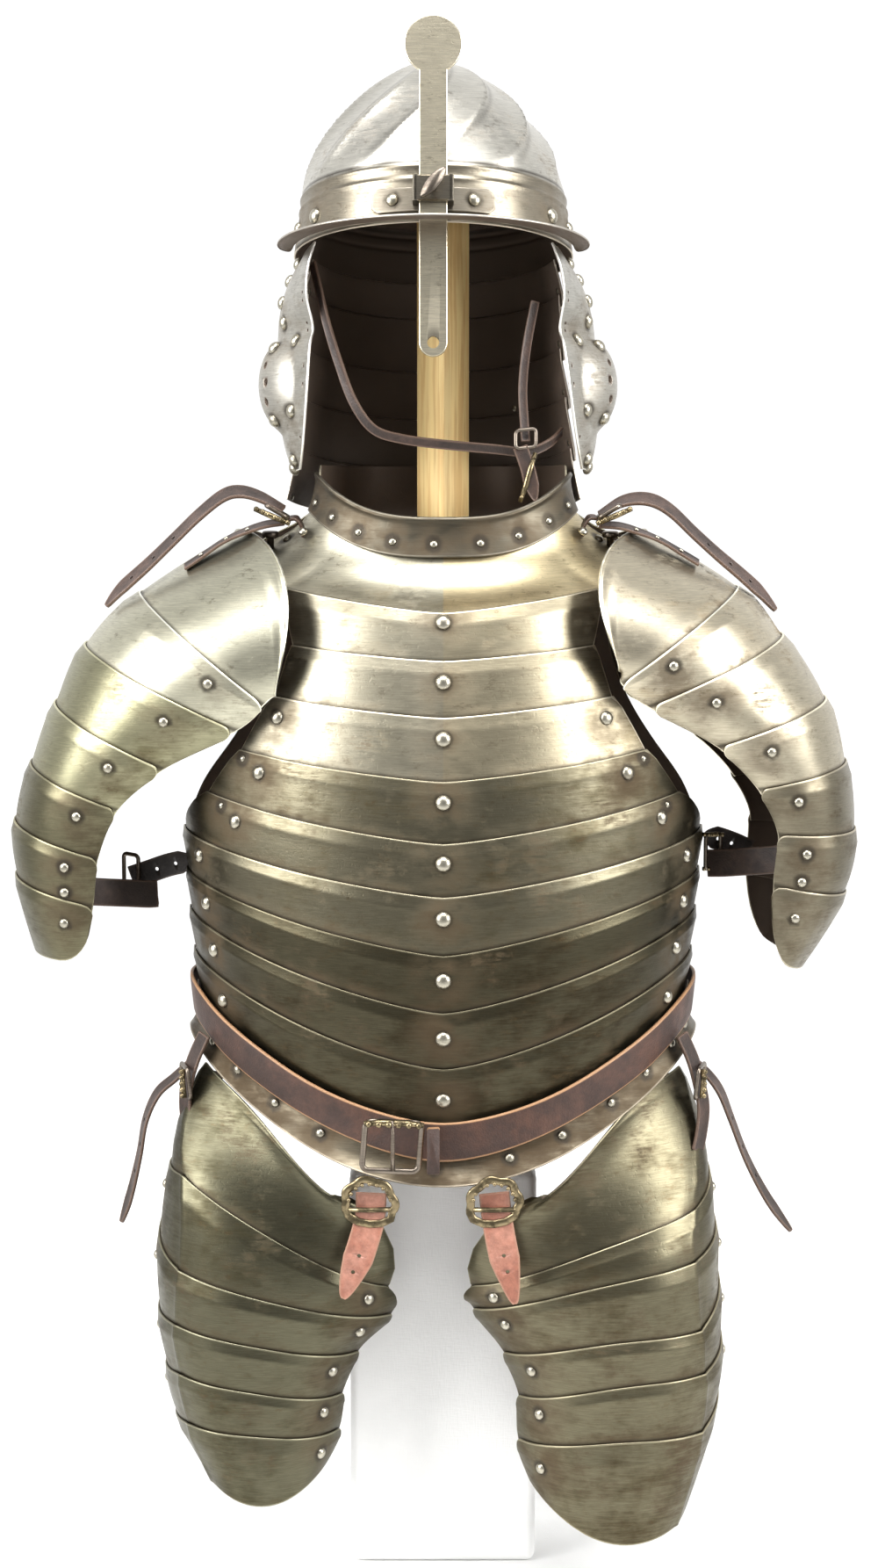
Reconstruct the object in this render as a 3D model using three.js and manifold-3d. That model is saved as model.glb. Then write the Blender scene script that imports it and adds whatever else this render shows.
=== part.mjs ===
// Suit of plate armour on a wooden stand: lobster-tailed helmet with a sliding nasal bar,
// laminated cuirass, two pauldrons and two tassets.
// Millimetres, +Z up, the wearer faces -Y. Left and right are as seen from the front.
import * as THREE from 'three';
import Module from 'manifold-3d';
import { mergeVertices } from 'three/addons/utils/BufferGeometryUtils.js';

// ---------------------------------------------------------------- driving dimensions
const STEEL = 1.5; // wall of every plate
const LAP = 0.22; // share of a lame's height that lies over its neighbour
const STEP = 2.4; // how far a lame's lapping edge stands off the lame under it
const STRAP_THICK = 2.4;

// The trunk that the cuirass is shaped on: one ellipse for each height, deeper in front.
const TRUNK = [
  { z: 330, half: 181, front: 150 },
  { z: 385, half: 178, front: 143 },
  { z: 425, half: 181, front: 150 },
  { z: 465, half: 185, front: 155 },
  { z: 505, half: 189, front: 157 },
  { z: 545, half: 192, front: 156 },
  { z: 585, half: 194, front: 152 },
  { z: 630, half: 188, front: 146 },
  { z: 673, half: 178, front: 138 },
  { z: 715, half: 163, front: 127 },
  { z: 757, half: 149, front: 110 },
  { z: 800, half: 143, front: 86 },
];
const CHEST_RIDGE = { rise: 2.5, width: 9 }; // the keel down the breast, width in degrees

// Upper edges of the nine breast lames, the waist and the lower edge of the waist flange:
// height at the middle and at the end, where the end lies in degrees from the front, and how
// round the dip is (1 is a V).
const BREAST_EDGES = [
  { middle: 745, side: 761, end: 51, arc: 1.3 },
  { middle: 712, side: 721, end: 42, arc: 1.3 },
  { middle: 673, side: 685, end: 44, arc: 1.3 },
  { middle: 629, side: 646, end: 52, arc: 1.3 },
  { middle: 586, side: 613, end: 64, arc: 1.3 },
  { middle: 549, side: 581, end: 88, arc: 1.3 },
  { middle: 508, side: 550, end: 88, arc: 1.3 },
  { middle: 467, side: 520, end: 88, arc: 1.35 },
  { middle: 426, side: 489, end: 88, arc: 1.45 },
  { middle: 380, side: 462, end: 88, arc: 1.8 },
  { middle: 342, side: 430, end: 88, arc: 2.1 },
];
const FLANGE_FLARE = 9;

const COLLAR = { half: 95, front: 77, middle: 784, rise: 33, tall: 28, flare: 6, reach: 88 };
const SHOULDER = { z: 789, end: 89.4 }; // outer end of the neck plate, beside the arm

// The backplate from its standing collar down to the waist; reach is the angle either side
// of the middle of the back, so the armholes are where it is small.
const BACKPLATE = [
  { z: 850, half: 92, depth: 80, reach: 89.3 },
  { z: 822, half: 95, depth: 84, reach: 89.3 },
  { z: 809, half: 108, depth: 92, reach: 89.3 },
  { z: 800, half: 125, depth: 101, reach: 89.3 },
  { z: 788, half: 144, depth: 110, reach: 89.0 },
  { z: 765, half: 150, depth: 120, reach: 66 },
  { z: 725, half: 160, depth: 130, reach: 54 },
  { z: 680, half: 172, depth: 135, reach: 55 },
  { z: 640, half: 182, depth: 134, reach: 64 },
  { z: 605, half: 189, depth: 131, reach: 80 },
  { z: 575, half: 190, depth: 128, reach: 94 },
  { z: 520, half: 186, depth: 120, reach: 94 },
  { z: 470, half: 181, depth: 110, reach: 94 },
  { z: 434, half: 178, depth: 110, reach: 94 },
];

const BELT = { front: 373, side: 456, back: 470, arc: 1.8, width: 28, lift: 7 };

// Pauldron sections from the neck down the arm: outer point, front inner point, depth to
// each side of the arm, bow towards the neck, and how far round the front end runs.
const PAULDRON_LEFT = [
  { outX: 151, outZ: 801, inX: 121, inZ: 688, deep: 120, bow: -30, round: 110 },
  { outX: 226, outZ: 756, inX: 127, inZ: 680, deep: 120, bow: -3, round: 110 },
  { outX: 267, outZ: 718, inX: 147, inZ: 661, deep: 112, bow: 0, round: 110 },
  { outX: 290, outZ: 675, inX: 201, inZ: 632, deep: 98, bow: 0, round: 110 },
  { outX: 309, outZ: 630, inX: 236, inZ: 601, deep: 86, bow: 0, round: 110 },
  { outX: 322, outZ: 587, inX: 252, inZ: 564, deep: 77, bow: 0, round: 110 },
  { outX: 322, outZ: 546, inX: 257, inZ: 528, deep: 71, bow: 0, round: 110 },
  { outX: 311, outZ: 486, inX: 266, inZ: 486, deep: 60, bow: -4, round: 104 },
];
const PAULDRON_RIGHT = [
  { outX: 148, outZ: 801, inX: 130, inZ: 700, deep: 120, bow: -32, round: 110 },
  { outX: 220, outZ: 760, inX: 126, inZ: 695, deep: 120, bow: -3, round: 110 },
  { outX: 253, outZ: 725, inX: 146, inZ: 678, deep: 112, bow: 0, round: 110 },
  { outX: 286, outZ: 678, inX: 197, inZ: 648, deep: 98, bow: 0, round: 110 },
  { outX: 302, outZ: 631, inX: 228, inZ: 616, deep: 86, bow: 0, round: 110 },
  { outX: 310, outZ: 580, inX: 244, inZ: 582, deep: 77, bow: 0, round: 110 },
  { outX: 304, outZ: 532, inX: 242, inZ: 544, deep: 71, bow: 0, round: 110 },
  { outX: 275, outZ: 474, inX: 244, inZ: 488, deep: 60, bow: -4, round: 104 },
];

// Tasset edges from the top down. Heights: at the inner end, at the ridge down the outer
// front, at the outer side, and how far the edge sags between. Plan: middle and half width of
// the thigh, its centre and depth front to back, how far the plate is turned outwards to
// follow the waist, and where its inner end lies in degrees from the front.
const TASSET_LEFT = [
  { inner: 328, ridge: 408, outer: 396, sag: -14, x: 121, half: 72, y: -81, deep: 28, turn: 45, from: -90 },
  { inner: 255, ridge: 337, outer: 337, sag: 0, x: 114, half: 87, y: -62, deep: 76, turn: 8, from: -65 },
  { inner: 233, ridge: 270, outer: 288, sag: 0, x: 120, half: 90, y: -61, deep: 84, turn: 0, from: -65 },
  { inner: 205, ridge: 230, outer: 230, sag: -2, x: 133, half: 78, y: -61, deep: 84, turn: 0, from: -65 },
  { inner: 173, ridge: 193, outer: 186, sag: -3, x: 137, half: 69, y: -61, deep: 84, turn: 0, from: -65 },
  { inner: 146, ridge: 156, outer: 149, sag: -3, x: 135, half: 64, y: -61, deep: 84, turn: 0, from: -65 },
  { inner: 122, ridge: 112, outer: 126, sag: 15, x: 130, half: 50, y: -66, deep: 78, turn: 0, from: -65 },
];
const TASSET_RIGHT = [
  { inner: 328, ridge: 405, outer: 394, sag: -19, x: 118, half: 76, y: -81, deep: 28, turn: 45, from: -90 },
  { inner: 256, ridge: 311, outer: 334, sag: -4, x: 102, half: 95, y: -62, deep: 76, turn: 8, from: -65 },
  { inner: 237, ridge: 276, outer: 292, sag: -6, x: 108, half: 94, y: -61, deep: 84, turn: 0, from: -65 },
  { inner: 204, ridge: 225, outer: 250, sag: -8, x: 121, half: 84, y: -61, deep: 84, turn: 0, from: -65 },
  { inner: 171, ridge: 193, outer: 207, sag: -8, x: 128, half: 79, y: -61, deep: 84, turn: 0, from: -65 },
  { inner: 138, ridge: 149, outer: 168, sag: -6, x: 127, half: 78, y: -61, deep: 84, turn: 0, from: -65 },
  { inner: 105, ridge: 78, outer: 96, sag: 17, x: 122, half: 63, y: -66, deep: 78, turn: 0, from: -65 },
];
const THIGH = { squareness: 0.85, ridge: 48, to: 104, hip: 15 }; // hip rounds the top inner corner

// Helmet, measured from the middle of its rim; it sits tipped back on the stand.
const HELMET = { x: -7, z: 1001, tilt: 7, half: 103, front: 121, back: 121 };
const SKULL = { band: 42, dome: 103, taper: 6, flutes: 12, fluteDeep: 2, twist: 55 };
const PEAK = { reach: 42, sides: 9, top: 4.5, drop: 9.5, ends: 0.45, spread: 78, off: 2.8 };
const NASAL = { width: 19.5, thick: 3, y: -129, disc: 20, discZ: 120, bottom: -95, hole: 4.2 };
const BRACKET = { spread: 24, plateZ: 15.2, plateTall: 17, boxZ: 20, boxWide: 28, boxTall: 18 };
const BRACKET_BOX = { back: -121.5, front: -136, clear: 0.5 };
const SCREW = { shaft: 2.8, wing: 13, wingTall: 4.5, wingThick: 3, angle: 51, out: -150 };

// Cheekpiece rows from the rim down: front and back edges, and how far out each part lies.
const CHEEK = [
  { z: -1.5, front: -66, back: 40, atFront: 85, atSide: 97 },
  { z: -20, front: -66, back: 42, atFront: 90, atSide: 108 },
  { z: -40, front: -64, back: 44, atFront: 91, atSide: 114 },
  { z: -60, front: -52, back: 44, atFront: 87, atSide: 116 },
  { z: -76, front: -60, back: 43, atFront: 89, atSide: 116 },
  { z: -116, front: -54, back: 36, atFront: 92, atSide: 114 },
  { z: -143, front: -38, back: 22, atFront: 95, atSide: 109 },
  { z: -158, front: -18, back: 4, atFront: 98, atSide: 102 },
];
const EAR_BOSS = { y: -6, z: -95, radius: 34, rise: 15 };
const CHEEK_HANG = { x: 96, left: 0, right: 4 }; // degrees each cheekpiece hangs outwards

// Neck guard edges from the rim down.
const TAIL = [
  { z: 4, half: 92, depth: 114 },
  { z: -22, half: 96, depth: 123 },
  { z: -62, half: 97, depth: 133 },
  { z: -98, half: 101, depth: 142 },
  { z: -136, half: 105, depth: 153 },
  { z: -174, half: 110, depth: 166 },
];
const TAIL_REACH = 80;

const STAND = {
  board: [380, 280, 22],
  column: [140, 116],
  columnTop: 326,
  post: 28,
  postTop: 1058,
  yoke: [250, 34, 24],
  yokeZ: 766,
  blockHalf: 82,
  blockDeep: 98,
  blockTall: 92,
};

// ---------------------------------------------------------------- shared geometry
const wasm = await Module();
wasm.setup();
const rad = THREE.MathUtils.degToRad;
const mix = THREE.MathUtils.lerp;
const sine = (degrees) => Math.sin(rad(degrees));
const cosine = (degrees) => Math.cos(rad(degrees));

// A smooth value between the rows of a table. Place counts rows from 0.
function rowValue(table, key, place) {
  const last = table.length - 1;
  if (place > last) return mix(table[last - 1][key], table[last][key], 1 + place - last);
  const row = Math.min(Math.max(Math.floor(place), 0), last - 1);
  const f = place - row;
  const value = (index) => table[Math.min(Math.max(index, 0), last)][key];
  const [before, start, end, after] = [row - 1, row, row + 1, row + 2].map(value);
  const bend = 2 * before - 5 * start + 4 * end - after + f * (3 * (start - end) + after - before);
  return start + 0.5 * f * (end - before + f * bend);
}

function placeOf(table, z) {
  let row = 0;
  while (row < table.length - 2 && z > table[row + 1].z) row += 1;
  return row + (z - table[row].z) / (table[row + 1].z - table[row].z);
}

// A point on the trunk's front half; the angle runs from -90 at the left to 90 at the right.
function trunkPoint(angle, z) {
  const place = placeOf(TRUNK, z);
  const keel = CHEST_RIDGE.rise * Math.exp(-((angle / CHEST_RIDGE.width) ** 2));
  const front = rowValue(TRUNK, 'front', place) + keel;
  return new THREE.Vector3(
    rowValue(TRUNK, 'half', place) * sine(angle),
    -front * cosine(angle),
    z,
  );
}

function closedGeometry(vertices, triangles) {
  const positions = vertices.flatMap((vertex) => vertex.toArray());
  const geometry = new THREE.BufferGeometry();
  geometry.setAttribute('position', new THREE.Float32BufferAttribute(positions, 3));
  let volume = 0;
  for (const [a, b, c] of triangles) {
    volume += vertices[a].dot(vertices[b].clone().cross(vertices[c]));
  }
  const outward = volume > 0 ? triangles : triangles.map(([a, b, c]) => [a, c, b]);
  geometry.setIndex(outward.flat());
  return geometry;
}

const evenly = (count) => Array.from({ length: count + 1 }, (_, index) => index / count);

// Each lame of a stack lies over the one before it, or under it, in a strip of the same shape:
// these are the stops down a lame and how far it stands off the surface of the stack.
const LAME_STOPS = [0, LAP, 0.6, 1, 1 + LAP];
const LAST_LAME_STOPS = LAME_STOPS.slice(0, -1);
const lameFade = (t) => THREE.MathUtils.clamp((1 - t) / (1 - LAP), 0, 1);
const lapsOver = (s, t) => STEP * lameFade(t);
const lapsUnder = (s, t) => STEP * (1 - lameFade(t));

// A closed plate on a surface: at(s, t) gives a point for s across and t down, through the
// given stops, and lift(s, t) how far its outer face stands off that surface. A ring joins its
// two ends; a pole is one top point. Side -1 mirrors the piece to the left.
function plate({ columns, stops, at, lift = () => 0, thick = STEEL, ring, pole, side = 1 }) {
  const perRow = ring ? columns : columns + 1;
  const rows = stops.length - 1;
  const small = 1e-3;
  const faces = [[], []];
  for (let row = pole ? 1 : 0; row <= rows; row += 1) {
    for (let column = 0; column < perRow; column += 1) {
      const s = column / columns;
      const t = stops[row];
      const [above, below] = [Math.max(t - small, 0), Math.min(t + small, stops[rows])];
      const across = at(s + small, t).sub(at(s - small, t));
      const normal = at(s, below).sub(at(s, above)).cross(across).normalize();
      [lift(s, t), lift(s, t) - thick].forEach((offset, face) => {
        faces[face].push(at(s, t).addScaledVector(normal, offset));
      });
    }
  }
  if (pole) {
    faces[0].push(at(0, 0));
    faces[1].push(at(0, 0).add(new THREE.Vector3(0, 0, -thick)));
  }
  const perFace = faces[0].length;
  const vertices = faces.flat().map((vertex) => vertex.setX(side * vertex.x));
  const id = (face, row, column) => {
    if (pole && row === 0) return face * perFace + perFace - 1;
    return face * perFace + (row - (pole ? 1 : 0)) * perRow + (column % perRow);
  };
  const triangles = [];
  const quad = (a, b, c, d) => {
    for (const corners of [[a, b, c], [a, c, d]]) {
      if (new Set(corners).size === 3) triangles.push(corners);
    }
  };
  for (let row = 0; row < rows; row += 1) {
    for (let column = 0; column < columns; column += 1) {
      const [left, right, low] = [column, column + 1, row + 1];
      quad(id(0, row, left), id(0, low, left), id(0, low, right), id(0, row, right));
      quad(id(1, row, left), id(1, row, right), id(1, low, right), id(1, low, left));
    }
    if (!ring) {
      quad(id(0, row, 0), id(1, row, 0), id(1, row + 1, 0), id(0, row + 1, 0));
      const end = columns;
      quad(id(0, row, end), id(0, row + 1, end), id(1, row + 1, end), id(1, row, end));
    }
  }
  for (let column = 0; column < columns; column += 1) {
    const [left, right] = [column, column + 1];
    if (!pole) quad(id(0, 0, left), id(0, 0, right), id(1, 0, right), id(1, 0, left));
    quad(id(0, rows, left), id(1, rows, left), id(1, rows, right), id(0, rows, right));
  }
  return closedGeometry(vertices, triangles);
}

// A strap of even width and thickness along a route; across is the direction of its width,
// and point is the share of its length that narrows to a tip.
function strap({ route, across, width, steps, point = 0, side = 1 }) {
  const curve = new THREE.CatmullRomCurve3(route.map((point) => new THREE.Vector3(...point)));
  const widthWay = (s) => {
    const tangent = curve.getTangent(Math.min(Math.max(s, 0), 1));
    const way = new THREE.Vector3(...across);
    return way.addScaledVector(tangent, -way.dot(tangent)).normalize();
  };
  const at = (s, t) => {
    const place = Math.min(Math.max(s, 0), 1);
    const narrow = point > 0 ? Math.min(0.2 + 0.8 * (1 - place) / point, 1) : 1;
    return curve.getPoint(place).addScaledVector(widthWay(place), width * narrow * (t - 0.5));
  };
  const shape = { columns: steps, stops: evenly(1), lift: () => STRAP_THICK / 2 };
  return plate({ ...shape, at, thick: STRAP_THICK, side });
}

function toSolid(geometry) {
  const bare = geometry.clone();
  bare.deleteAttribute('normal');
  bare.deleteAttribute('uv');
  const merged = mergeVertices(bare, 1e-4);
  return new wasm.Manifold(new wasm.Mesh({
    numProp: 3,
    vertProperties: new Float32Array(merged.attributes.position.array),
    triVerts: new Uint32Array(merged.index.array),
  }));
}

function toGeometry(solid) {
  const mesh = solid.getMesh();
  const geometry = new THREE.BufferGeometry();
  geometry.setAttribute('position', new THREE.BufferAttribute(mesh.vertProperties, 3));
  geometry.setIndex(new THREE.BufferAttribute(mesh.triVerts, 1));
  return geometry;
}

function block(width, depth, height, x, y, z) {
  return toSolid(new THREE.BoxGeometry(width, depth, height).translate(x, y, z));
}

// A round bar along Y.
function roundBar(radius, fromY, toY, x, z) {
  const bar = new THREE.CylinderGeometry(radius, radius, toY - fromY, 32);
  return toSolid(bar.translate(x, (fromY + toY) / 2, z));
}

const FINISHES = {
  steel: { color: 0x8c8a73, roughness: 0.38, metalness: 1 },
  darkSteel: { color: 0x4a453a, roughness: 0.55, metalness: 1 },
  brownLeather: { color: 0x3a2418, roughness: 0.65, metalness: 0 },
  redLeather: { color: 0xb46a5e, roughness: 0.7, metalness: 0 },
  wood: { color: 0xcdb478, roughness: 0.6, metalness: 0 },
};

function piece(name, geometry, finish = 'steel') {
  const mesh = new THREE.Mesh(geometry, new THREE.MeshStandardMaterial(FINISHES[finish]));
  mesh.name = name;
  return mesh;
}

const SIDES = [
  { name: 'left', side: -1 },
  { name: 'right', side: 1 },
];

// ---------------------------------------------------------------- cuirass
// Height of an edge that dips in the middle of the breast.
function edgeHeight(edge, angle) {
  const swing = Math.min(Math.abs(sine(angle) / sine(edge.end)), 1.1);
  return mix(edge.middle, edge.side, swing ** edge.arc);
}

// A point on the breast; place counts lame edges from 0 at the top, s runs from side to side.
function breastPoint(s, place) {
  const row = Math.min(Math.floor(place), BREAST_EDGES.length - 2);
  const [upper, lower] = [BREAST_EDGES[row], BREAST_EDGES[row + 1]];
  const end = mix(upper.end, lower.end, place - row);
  const angle = mix(-end, end, s);
  const [high, low] = [edgeHeight(upper, angle), edgeHeight(lower, angle)];
  return trunkPoint(angle, mix(high, low, place - row));
}

function collarPoint(angle, up, out = 0) {
  const flare = COLLAR.flare * (1 - up / COLLAR.tall) ** 2 + out;
  return new THREE.Vector3(
    (COLLAR.half + flare) * sine(angle),
    -(COLLAR.front + flare) * cosine(angle),
    COLLAR.middle + COLLAR.rise * Math.abs(sine(angle)) ** 3 + up,
  );
}

function makeCollar() {
  const at = (s, t) => {
    return collarPoint(mix(-COLLAR.reach, COLLAR.reach, s), COLLAR.tall * (1 - t));
  };
  return piece('collar', plate({ columns: 24, stops: evenly(3), at }));
}

// From inside the collar the plate dips, then runs out over the shoulders and chest, where
// its lower edge goes under the first lame.
function makeNeckPlate() {
  const seam = BREAST_EDGES[0];
  const neckUp = 9;
  const inset = -COLLAR.flare * (1 - neckUp / COLLAR.tall) ** 2;
  const at = (s, t) => {
    const angle = mix(-SHOULDER.end, SHOULDER.end, s);
    const inside = collarPoint(angle, neckUp, inset);
    const past = Math.max(Math.abs(angle) - seam.end, 0) / (SHOULDER.end - seam.end);
    const edge = past > 0
      ? trunkPoint(angle, mix(seam.side, SHOULDER.z, past ** 0.8))
      : breastPoint(angle / seam.end / 2 + 0.5, 0);
    if (t > 1) return past > 0 ? edge : breastPoint(angle / seam.end / 2 + 0.5, t - 1);
    const bend = inside.clone().lerp(edge, 0.14).setZ(mix(inside.z, edge.z, 0.7));
    return new THREE.QuadraticBezierCurve3(inside, bend, edge).getPoint(t);
  };
  return piece('neck_plate', plate({ columns: 28, stops: evenly(5), at }));
}

function makeBreastLame(index) {
  const at = (s, t) => breastPoint(s, index + t);
  const geometry = plate({ columns: 22, stops: LAME_STOPS, at, lift: lapsOver });
  return piece(`breast_lame_${index + 1}`, geometry);
}

function makeWaistFlange() {
  const top = BREAST_EDGES.length - 2;
  const at = (s, t) => breastPoint(s, top + t);
  const lift = (s, t) => STEP + FLANGE_FLARE * (Math.max(t - 0.45, 0) / 0.55) ** 2;
  return piece('waist_flange', plate({ columns: 22, stops: [0, LAP, 0.6, 0.8, 1], at, lift }));
}

function makeBackplate() {
  const last = BACKPLATE.length - 1;
  const at = (s, t) => {
    const place = t * last;
    const value = (key) => rowValue(BACKPLATE, key, place);
    const angle = 180 + mix(-value('reach'), value('reach'), s);
    return new THREE.Vector3(
      value('half') * sine(angle),
      -value('depth') * cosine(angle),
      value('z'),
    );
  };
  return piece('backplate', plate({ columns: 22, stops: evenly(last), at }));
}

function makeBelt() {
  const waistRow = BACKPLATE[BACKPLATE.length - 2];
  const at = (s, t) => {
    const angle = mix(-180, 180, s);
    const behind = Math.abs(angle) > 90;
    const swing = Math.abs(sine(angle)) ** BELT.arc;
    const z = mix(behind ? BELT.back : BELT.front, BELT.side, swing) + BELT.width * (0.5 - t);
    const point = trunkPoint(angle, z);
    return behind ? point.setY(-waistRow.depth * cosine(angle)) : point;
  };
  const lift = () => BELT.lift;
  const shape = { columns: 44, stops: evenly(1), thick: STRAP_THICK, ring: true };
  return piece('belt', plate({ ...shape, at, lift }), 'brownLeather');
}

// ---------------------------------------------------------------- pauldrons
// Round the arm from -1 at the front end, over the outermost point at 0, to 1 as far behind.
function pauldronPoint(rows, place, round) {
  const value = (key) => rowValue(rows, key, place);
  const turn = value('round') * round;
  const shrink = (1 - cosine(turn)) / (1 - cosine(value('round')));
  const bow = value('bow') * Math.sin(Math.PI * Math.abs(round));
  return new THREE.Vector3(
    mix(value('outX'), value('inX'), shrink) + bow,
    value('deep') * sine(turn),
    mix(value('outZ'), value('inZ'), shrink),
  );
}

function makePauldron({ name, side }, rows, behind) {
  const lames = new THREE.Group();
  for (let lame = 0; lame < rows.length - 1; lame += 1) {
    const stops = lame === rows.length - 2 ? LAST_LAME_STOPS : LAME_STOPS;
    const at = (s, t) => pauldronPoint(rows, lame + t, mix(-1, behind, s));
    const geometry = plate({ columns: 16, stops, at, lift: lapsOver, side });
    lames.add(piece(`pauldron_${name}_lame_${lame + 1}`, geometry));
  }
  return lames;
}

// ---------------------------------------------------------------- tassets
// Round the thigh by angle: 0 faces forward, 90 is the outer side.
function tassetPoint(rows, place, angle) {
  const value = (key) => rowValue(rows, key, place);
  const square = (part) => Math.sign(part) * Math.abs(part) ** THIGH.squareness;
  const [from, ridge] = [square(sine(value('from'))), square(sine(THIGH.ridge))];
  const across = square(sine(angle));
  const inFront = (across - from) / (ridge - from);
  const z = angle < THIGH.ridge
    ? mix(value('inner'), value('ridge'), inFront) - value('sag') * Math.sin(Math.PI * inFront)
    : mix(value('ridge'), value('outer'), (angle - THIGH.ridge) / (90 - THIGH.ridge));
  const hip = THIGH.hip * Math.sin(Math.PI * Math.min(place, 1)) * Math.max(1 - inFront, 0);
  const ahead = -value('deep') * square(cosine(angle));
  const [c, w] = [cosine(value('turn')), sine(value('turn'))];
  return new THREE.Vector3(
    value('x') + value('half') * across * c - ahead * w - hip,
    value('y') + value('half') * across * w + ahead * c,
    z,
  );
}

function makeTasset({ name, side }, rows) {
  const lames = new THREE.Group();
  for (let lame = 0; lame < rows.length - 1; lame += 1) {
    const stops = lame === rows.length - 2 ? LAST_LAME_STOPS : LAME_STOPS;
    const at = (s, t) => {
      const place = lame + t;
      return tassetPoint(rows, place, mix(rowValue(rows, 'from', place), THIGH.to, s));
    };
    const geometry = plate({ columns: 14, stops, at, lift: lapsOver, side });
    lames.add(piece(`tasset_${name}_lame_${lame + 1}`, geometry));
  }
  return lames;
}

// ---------------------------------------------------------------- helmet
function makeSkull() {
  const domeShare = 0.75;
  const at = (s, t) => {
    const angle = mix(-180, 180, s);
    const inDome = t < domeShare;
    const height = inDome ? cosine(90 * t / domeShare) : 0;
    const fall = inDome ? 0 : (t - domeShare) / (1 - domeShare);
    const size = inDome ? (1 - height ** 1.65) ** 0.65 : 1;
    const wave = Math.cos(SKULL.flutes * rad(angle - SKULL.twist * height));
    const flute = inDome ? SKULL.fluteDeep * wave * 4 * height * (1 - height) : 0;
    const taper = SKULL.taper * (1 - fall);
    return new THREE.Vector3(
      ((HELMET.half - taper) * size + flute) * sine(angle),
      -((HELMET.front - taper) * size + flute) * cosine(angle),
      inDome ? SKULL.band + SKULL.dome * height : SKULL.band * (1 - fall),
    );
  };
  return piece('skull', plate({ columns: 48, stops: evenly(8), at, ring: true, pole: true }));
}

// Flared plate under the brow, slotted for the nasal bar.
function makePeak() {
  const at = (s, t) => {
    const angle = mix(-PEAK.spread, PEAK.spread, s);
    const ahead = mix(PEAK.sides, PEAK.reach, cosine(angle * 90 / PEAK.spread));
    const out = PEAK.off + ahead * t ** 1.3;
    const drop = PEAK.drop * mix(PEAK.ends, 1, cosine(angle * 90 / PEAK.spread));
    return new THREE.Vector3(
      (HELMET.half + out) * sine(angle),
      -(HELMET.front + out) * cosine(angle),
      PEAK.top - drop * t ** 0.7,
    );
  };
  const brim = toSolid(plate({ columns: 26, stops: evenly(3), at }));
  const slot = block(NASAL.width + 4, NASAL.thick + 4, 60, 0, NASAL.y, 0);
  return piece('peak', toGeometry(brim.subtract(slot)));
}

function makeBracket() {
  const at = (s, t) => {
    const angle = mix(-BRACKET.spread, BRACKET.spread, s);
    const z = BRACKET.plateZ + BRACKET.plateTall * (0.5 - t);
    const taper = SKULL.taper * z / SKULL.band;
    return new THREE.Vector3(
      (HELMET.half - taper) * sine(angle),
      -(HELMET.front - taper) * cosine(angle),
      z,
    );
  };
  const base = toSolid(plate({ columns: 8, stops: evenly(1), at, lift: () => 3.4, thick: 2 }));
  const { back, front, clear } = BRACKET_BOX;
  const middle = (back + front) / 2;
  const box = block(BRACKET.boxWide, back - front, BRACKET.boxTall, 0, middle, BRACKET.boxZ);
  const [wide, thick] = [NASAL.width + 2 * clear, NASAL.thick + 2 * clear];
  const channel = block(wide, thick, 60, 0, NASAL.y, BRACKET.boxZ);
  const screwHole = roundBar(SCREW.shaft + clear, front - 1, NASAL.y, 0, BRACKET.boxZ);
  const bracket = base.add(box).subtract(channel).subtract(screwHole);
  return piece('nasal_bracket', toGeometry(bracket), 'darkSteel');
}

function makeNasalBar() {
  const tall = NASAL.discZ - NASAL.bottom - NASAL.width / 2;
  const middle = NASAL.discZ - tall / 2;
  const [back, front] = [NASAL.y + NASAL.thick / 2, NASAL.y - NASAL.thick / 2];
  const end = NASAL.bottom + NASAL.width / 2;
  const bar = block(NASAL.width, NASAL.thick, tall, 0, NASAL.y, middle)
    .add(roundBar(NASAL.width / 2, front, back, 0, end))
    .add(roundBar(NASAL.disc, front, back, 0, NASAL.discZ))
    .subtract(roundBar(NASAL.hole, front - 1, back + 1, 0, end));
  return piece('nasal_bar', toGeometry(bar));
}

function makeWingScrew() {
  const tip = NASAL.y - NASAL.thick / 2 - BRACKET_BOX.clear;
  const shaft = roundBar(SCREW.shaft, SCREW.out, tip, 0, 0);
  const wings = new THREE.CylinderGeometry(1, 1, SCREW.wingThick, 28);
  wings.scale(SCREW.wing, 1, SCREW.wingTall).translate(0, SCREW.out, 0);
  const screw = shaft.add(toSolid(wings)).rotate([0, -SCREW.angle, 0]);
  const mesh = piece('wing_screw', toGeometry(screw), 'darkSteel');
  mesh.position.z = BRACKET.boxZ;
  return mesh;
}

// Hung from the rim and swelling over the ear.
function makeCheek({ name, side }) {
  const last = CHEEK.length - 1;
  const at = (s, t) => {
    const value = (key) => rowValue(CHEEK, key, t * last);
    const y = mix(value('front'), value('back'), s);
    const swell = Math.sin(Math.PI / 2 * Math.min(Math.max(s / 0.7, 0), 1));
    const apart = Math.hypot(y - EAR_BOSS.y, value('z') - EAR_BOSS.z) / EAR_BOSS.radius;
    const boss = EAR_BOSS.rise * Math.max(1 - apart ** 2, 0) ** 0.7;
    const x = mix(value('atFront'), value('atSide'), swell) + boss;
    return new THREE.Vector3(x, y, value('z'));
  };
  const hanging = plate({ columns: 9, stops: evenly(11), at, side })
    .translate(-side * CHEEK_HANG.x, 0, 0)
    .rotateY(-side * rad(CHEEK_HANG[name]))
    .translate(side * CHEEK_HANG.x, 0, 0);
  return piece(`cheek_${name}`, hanging);
}

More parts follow.
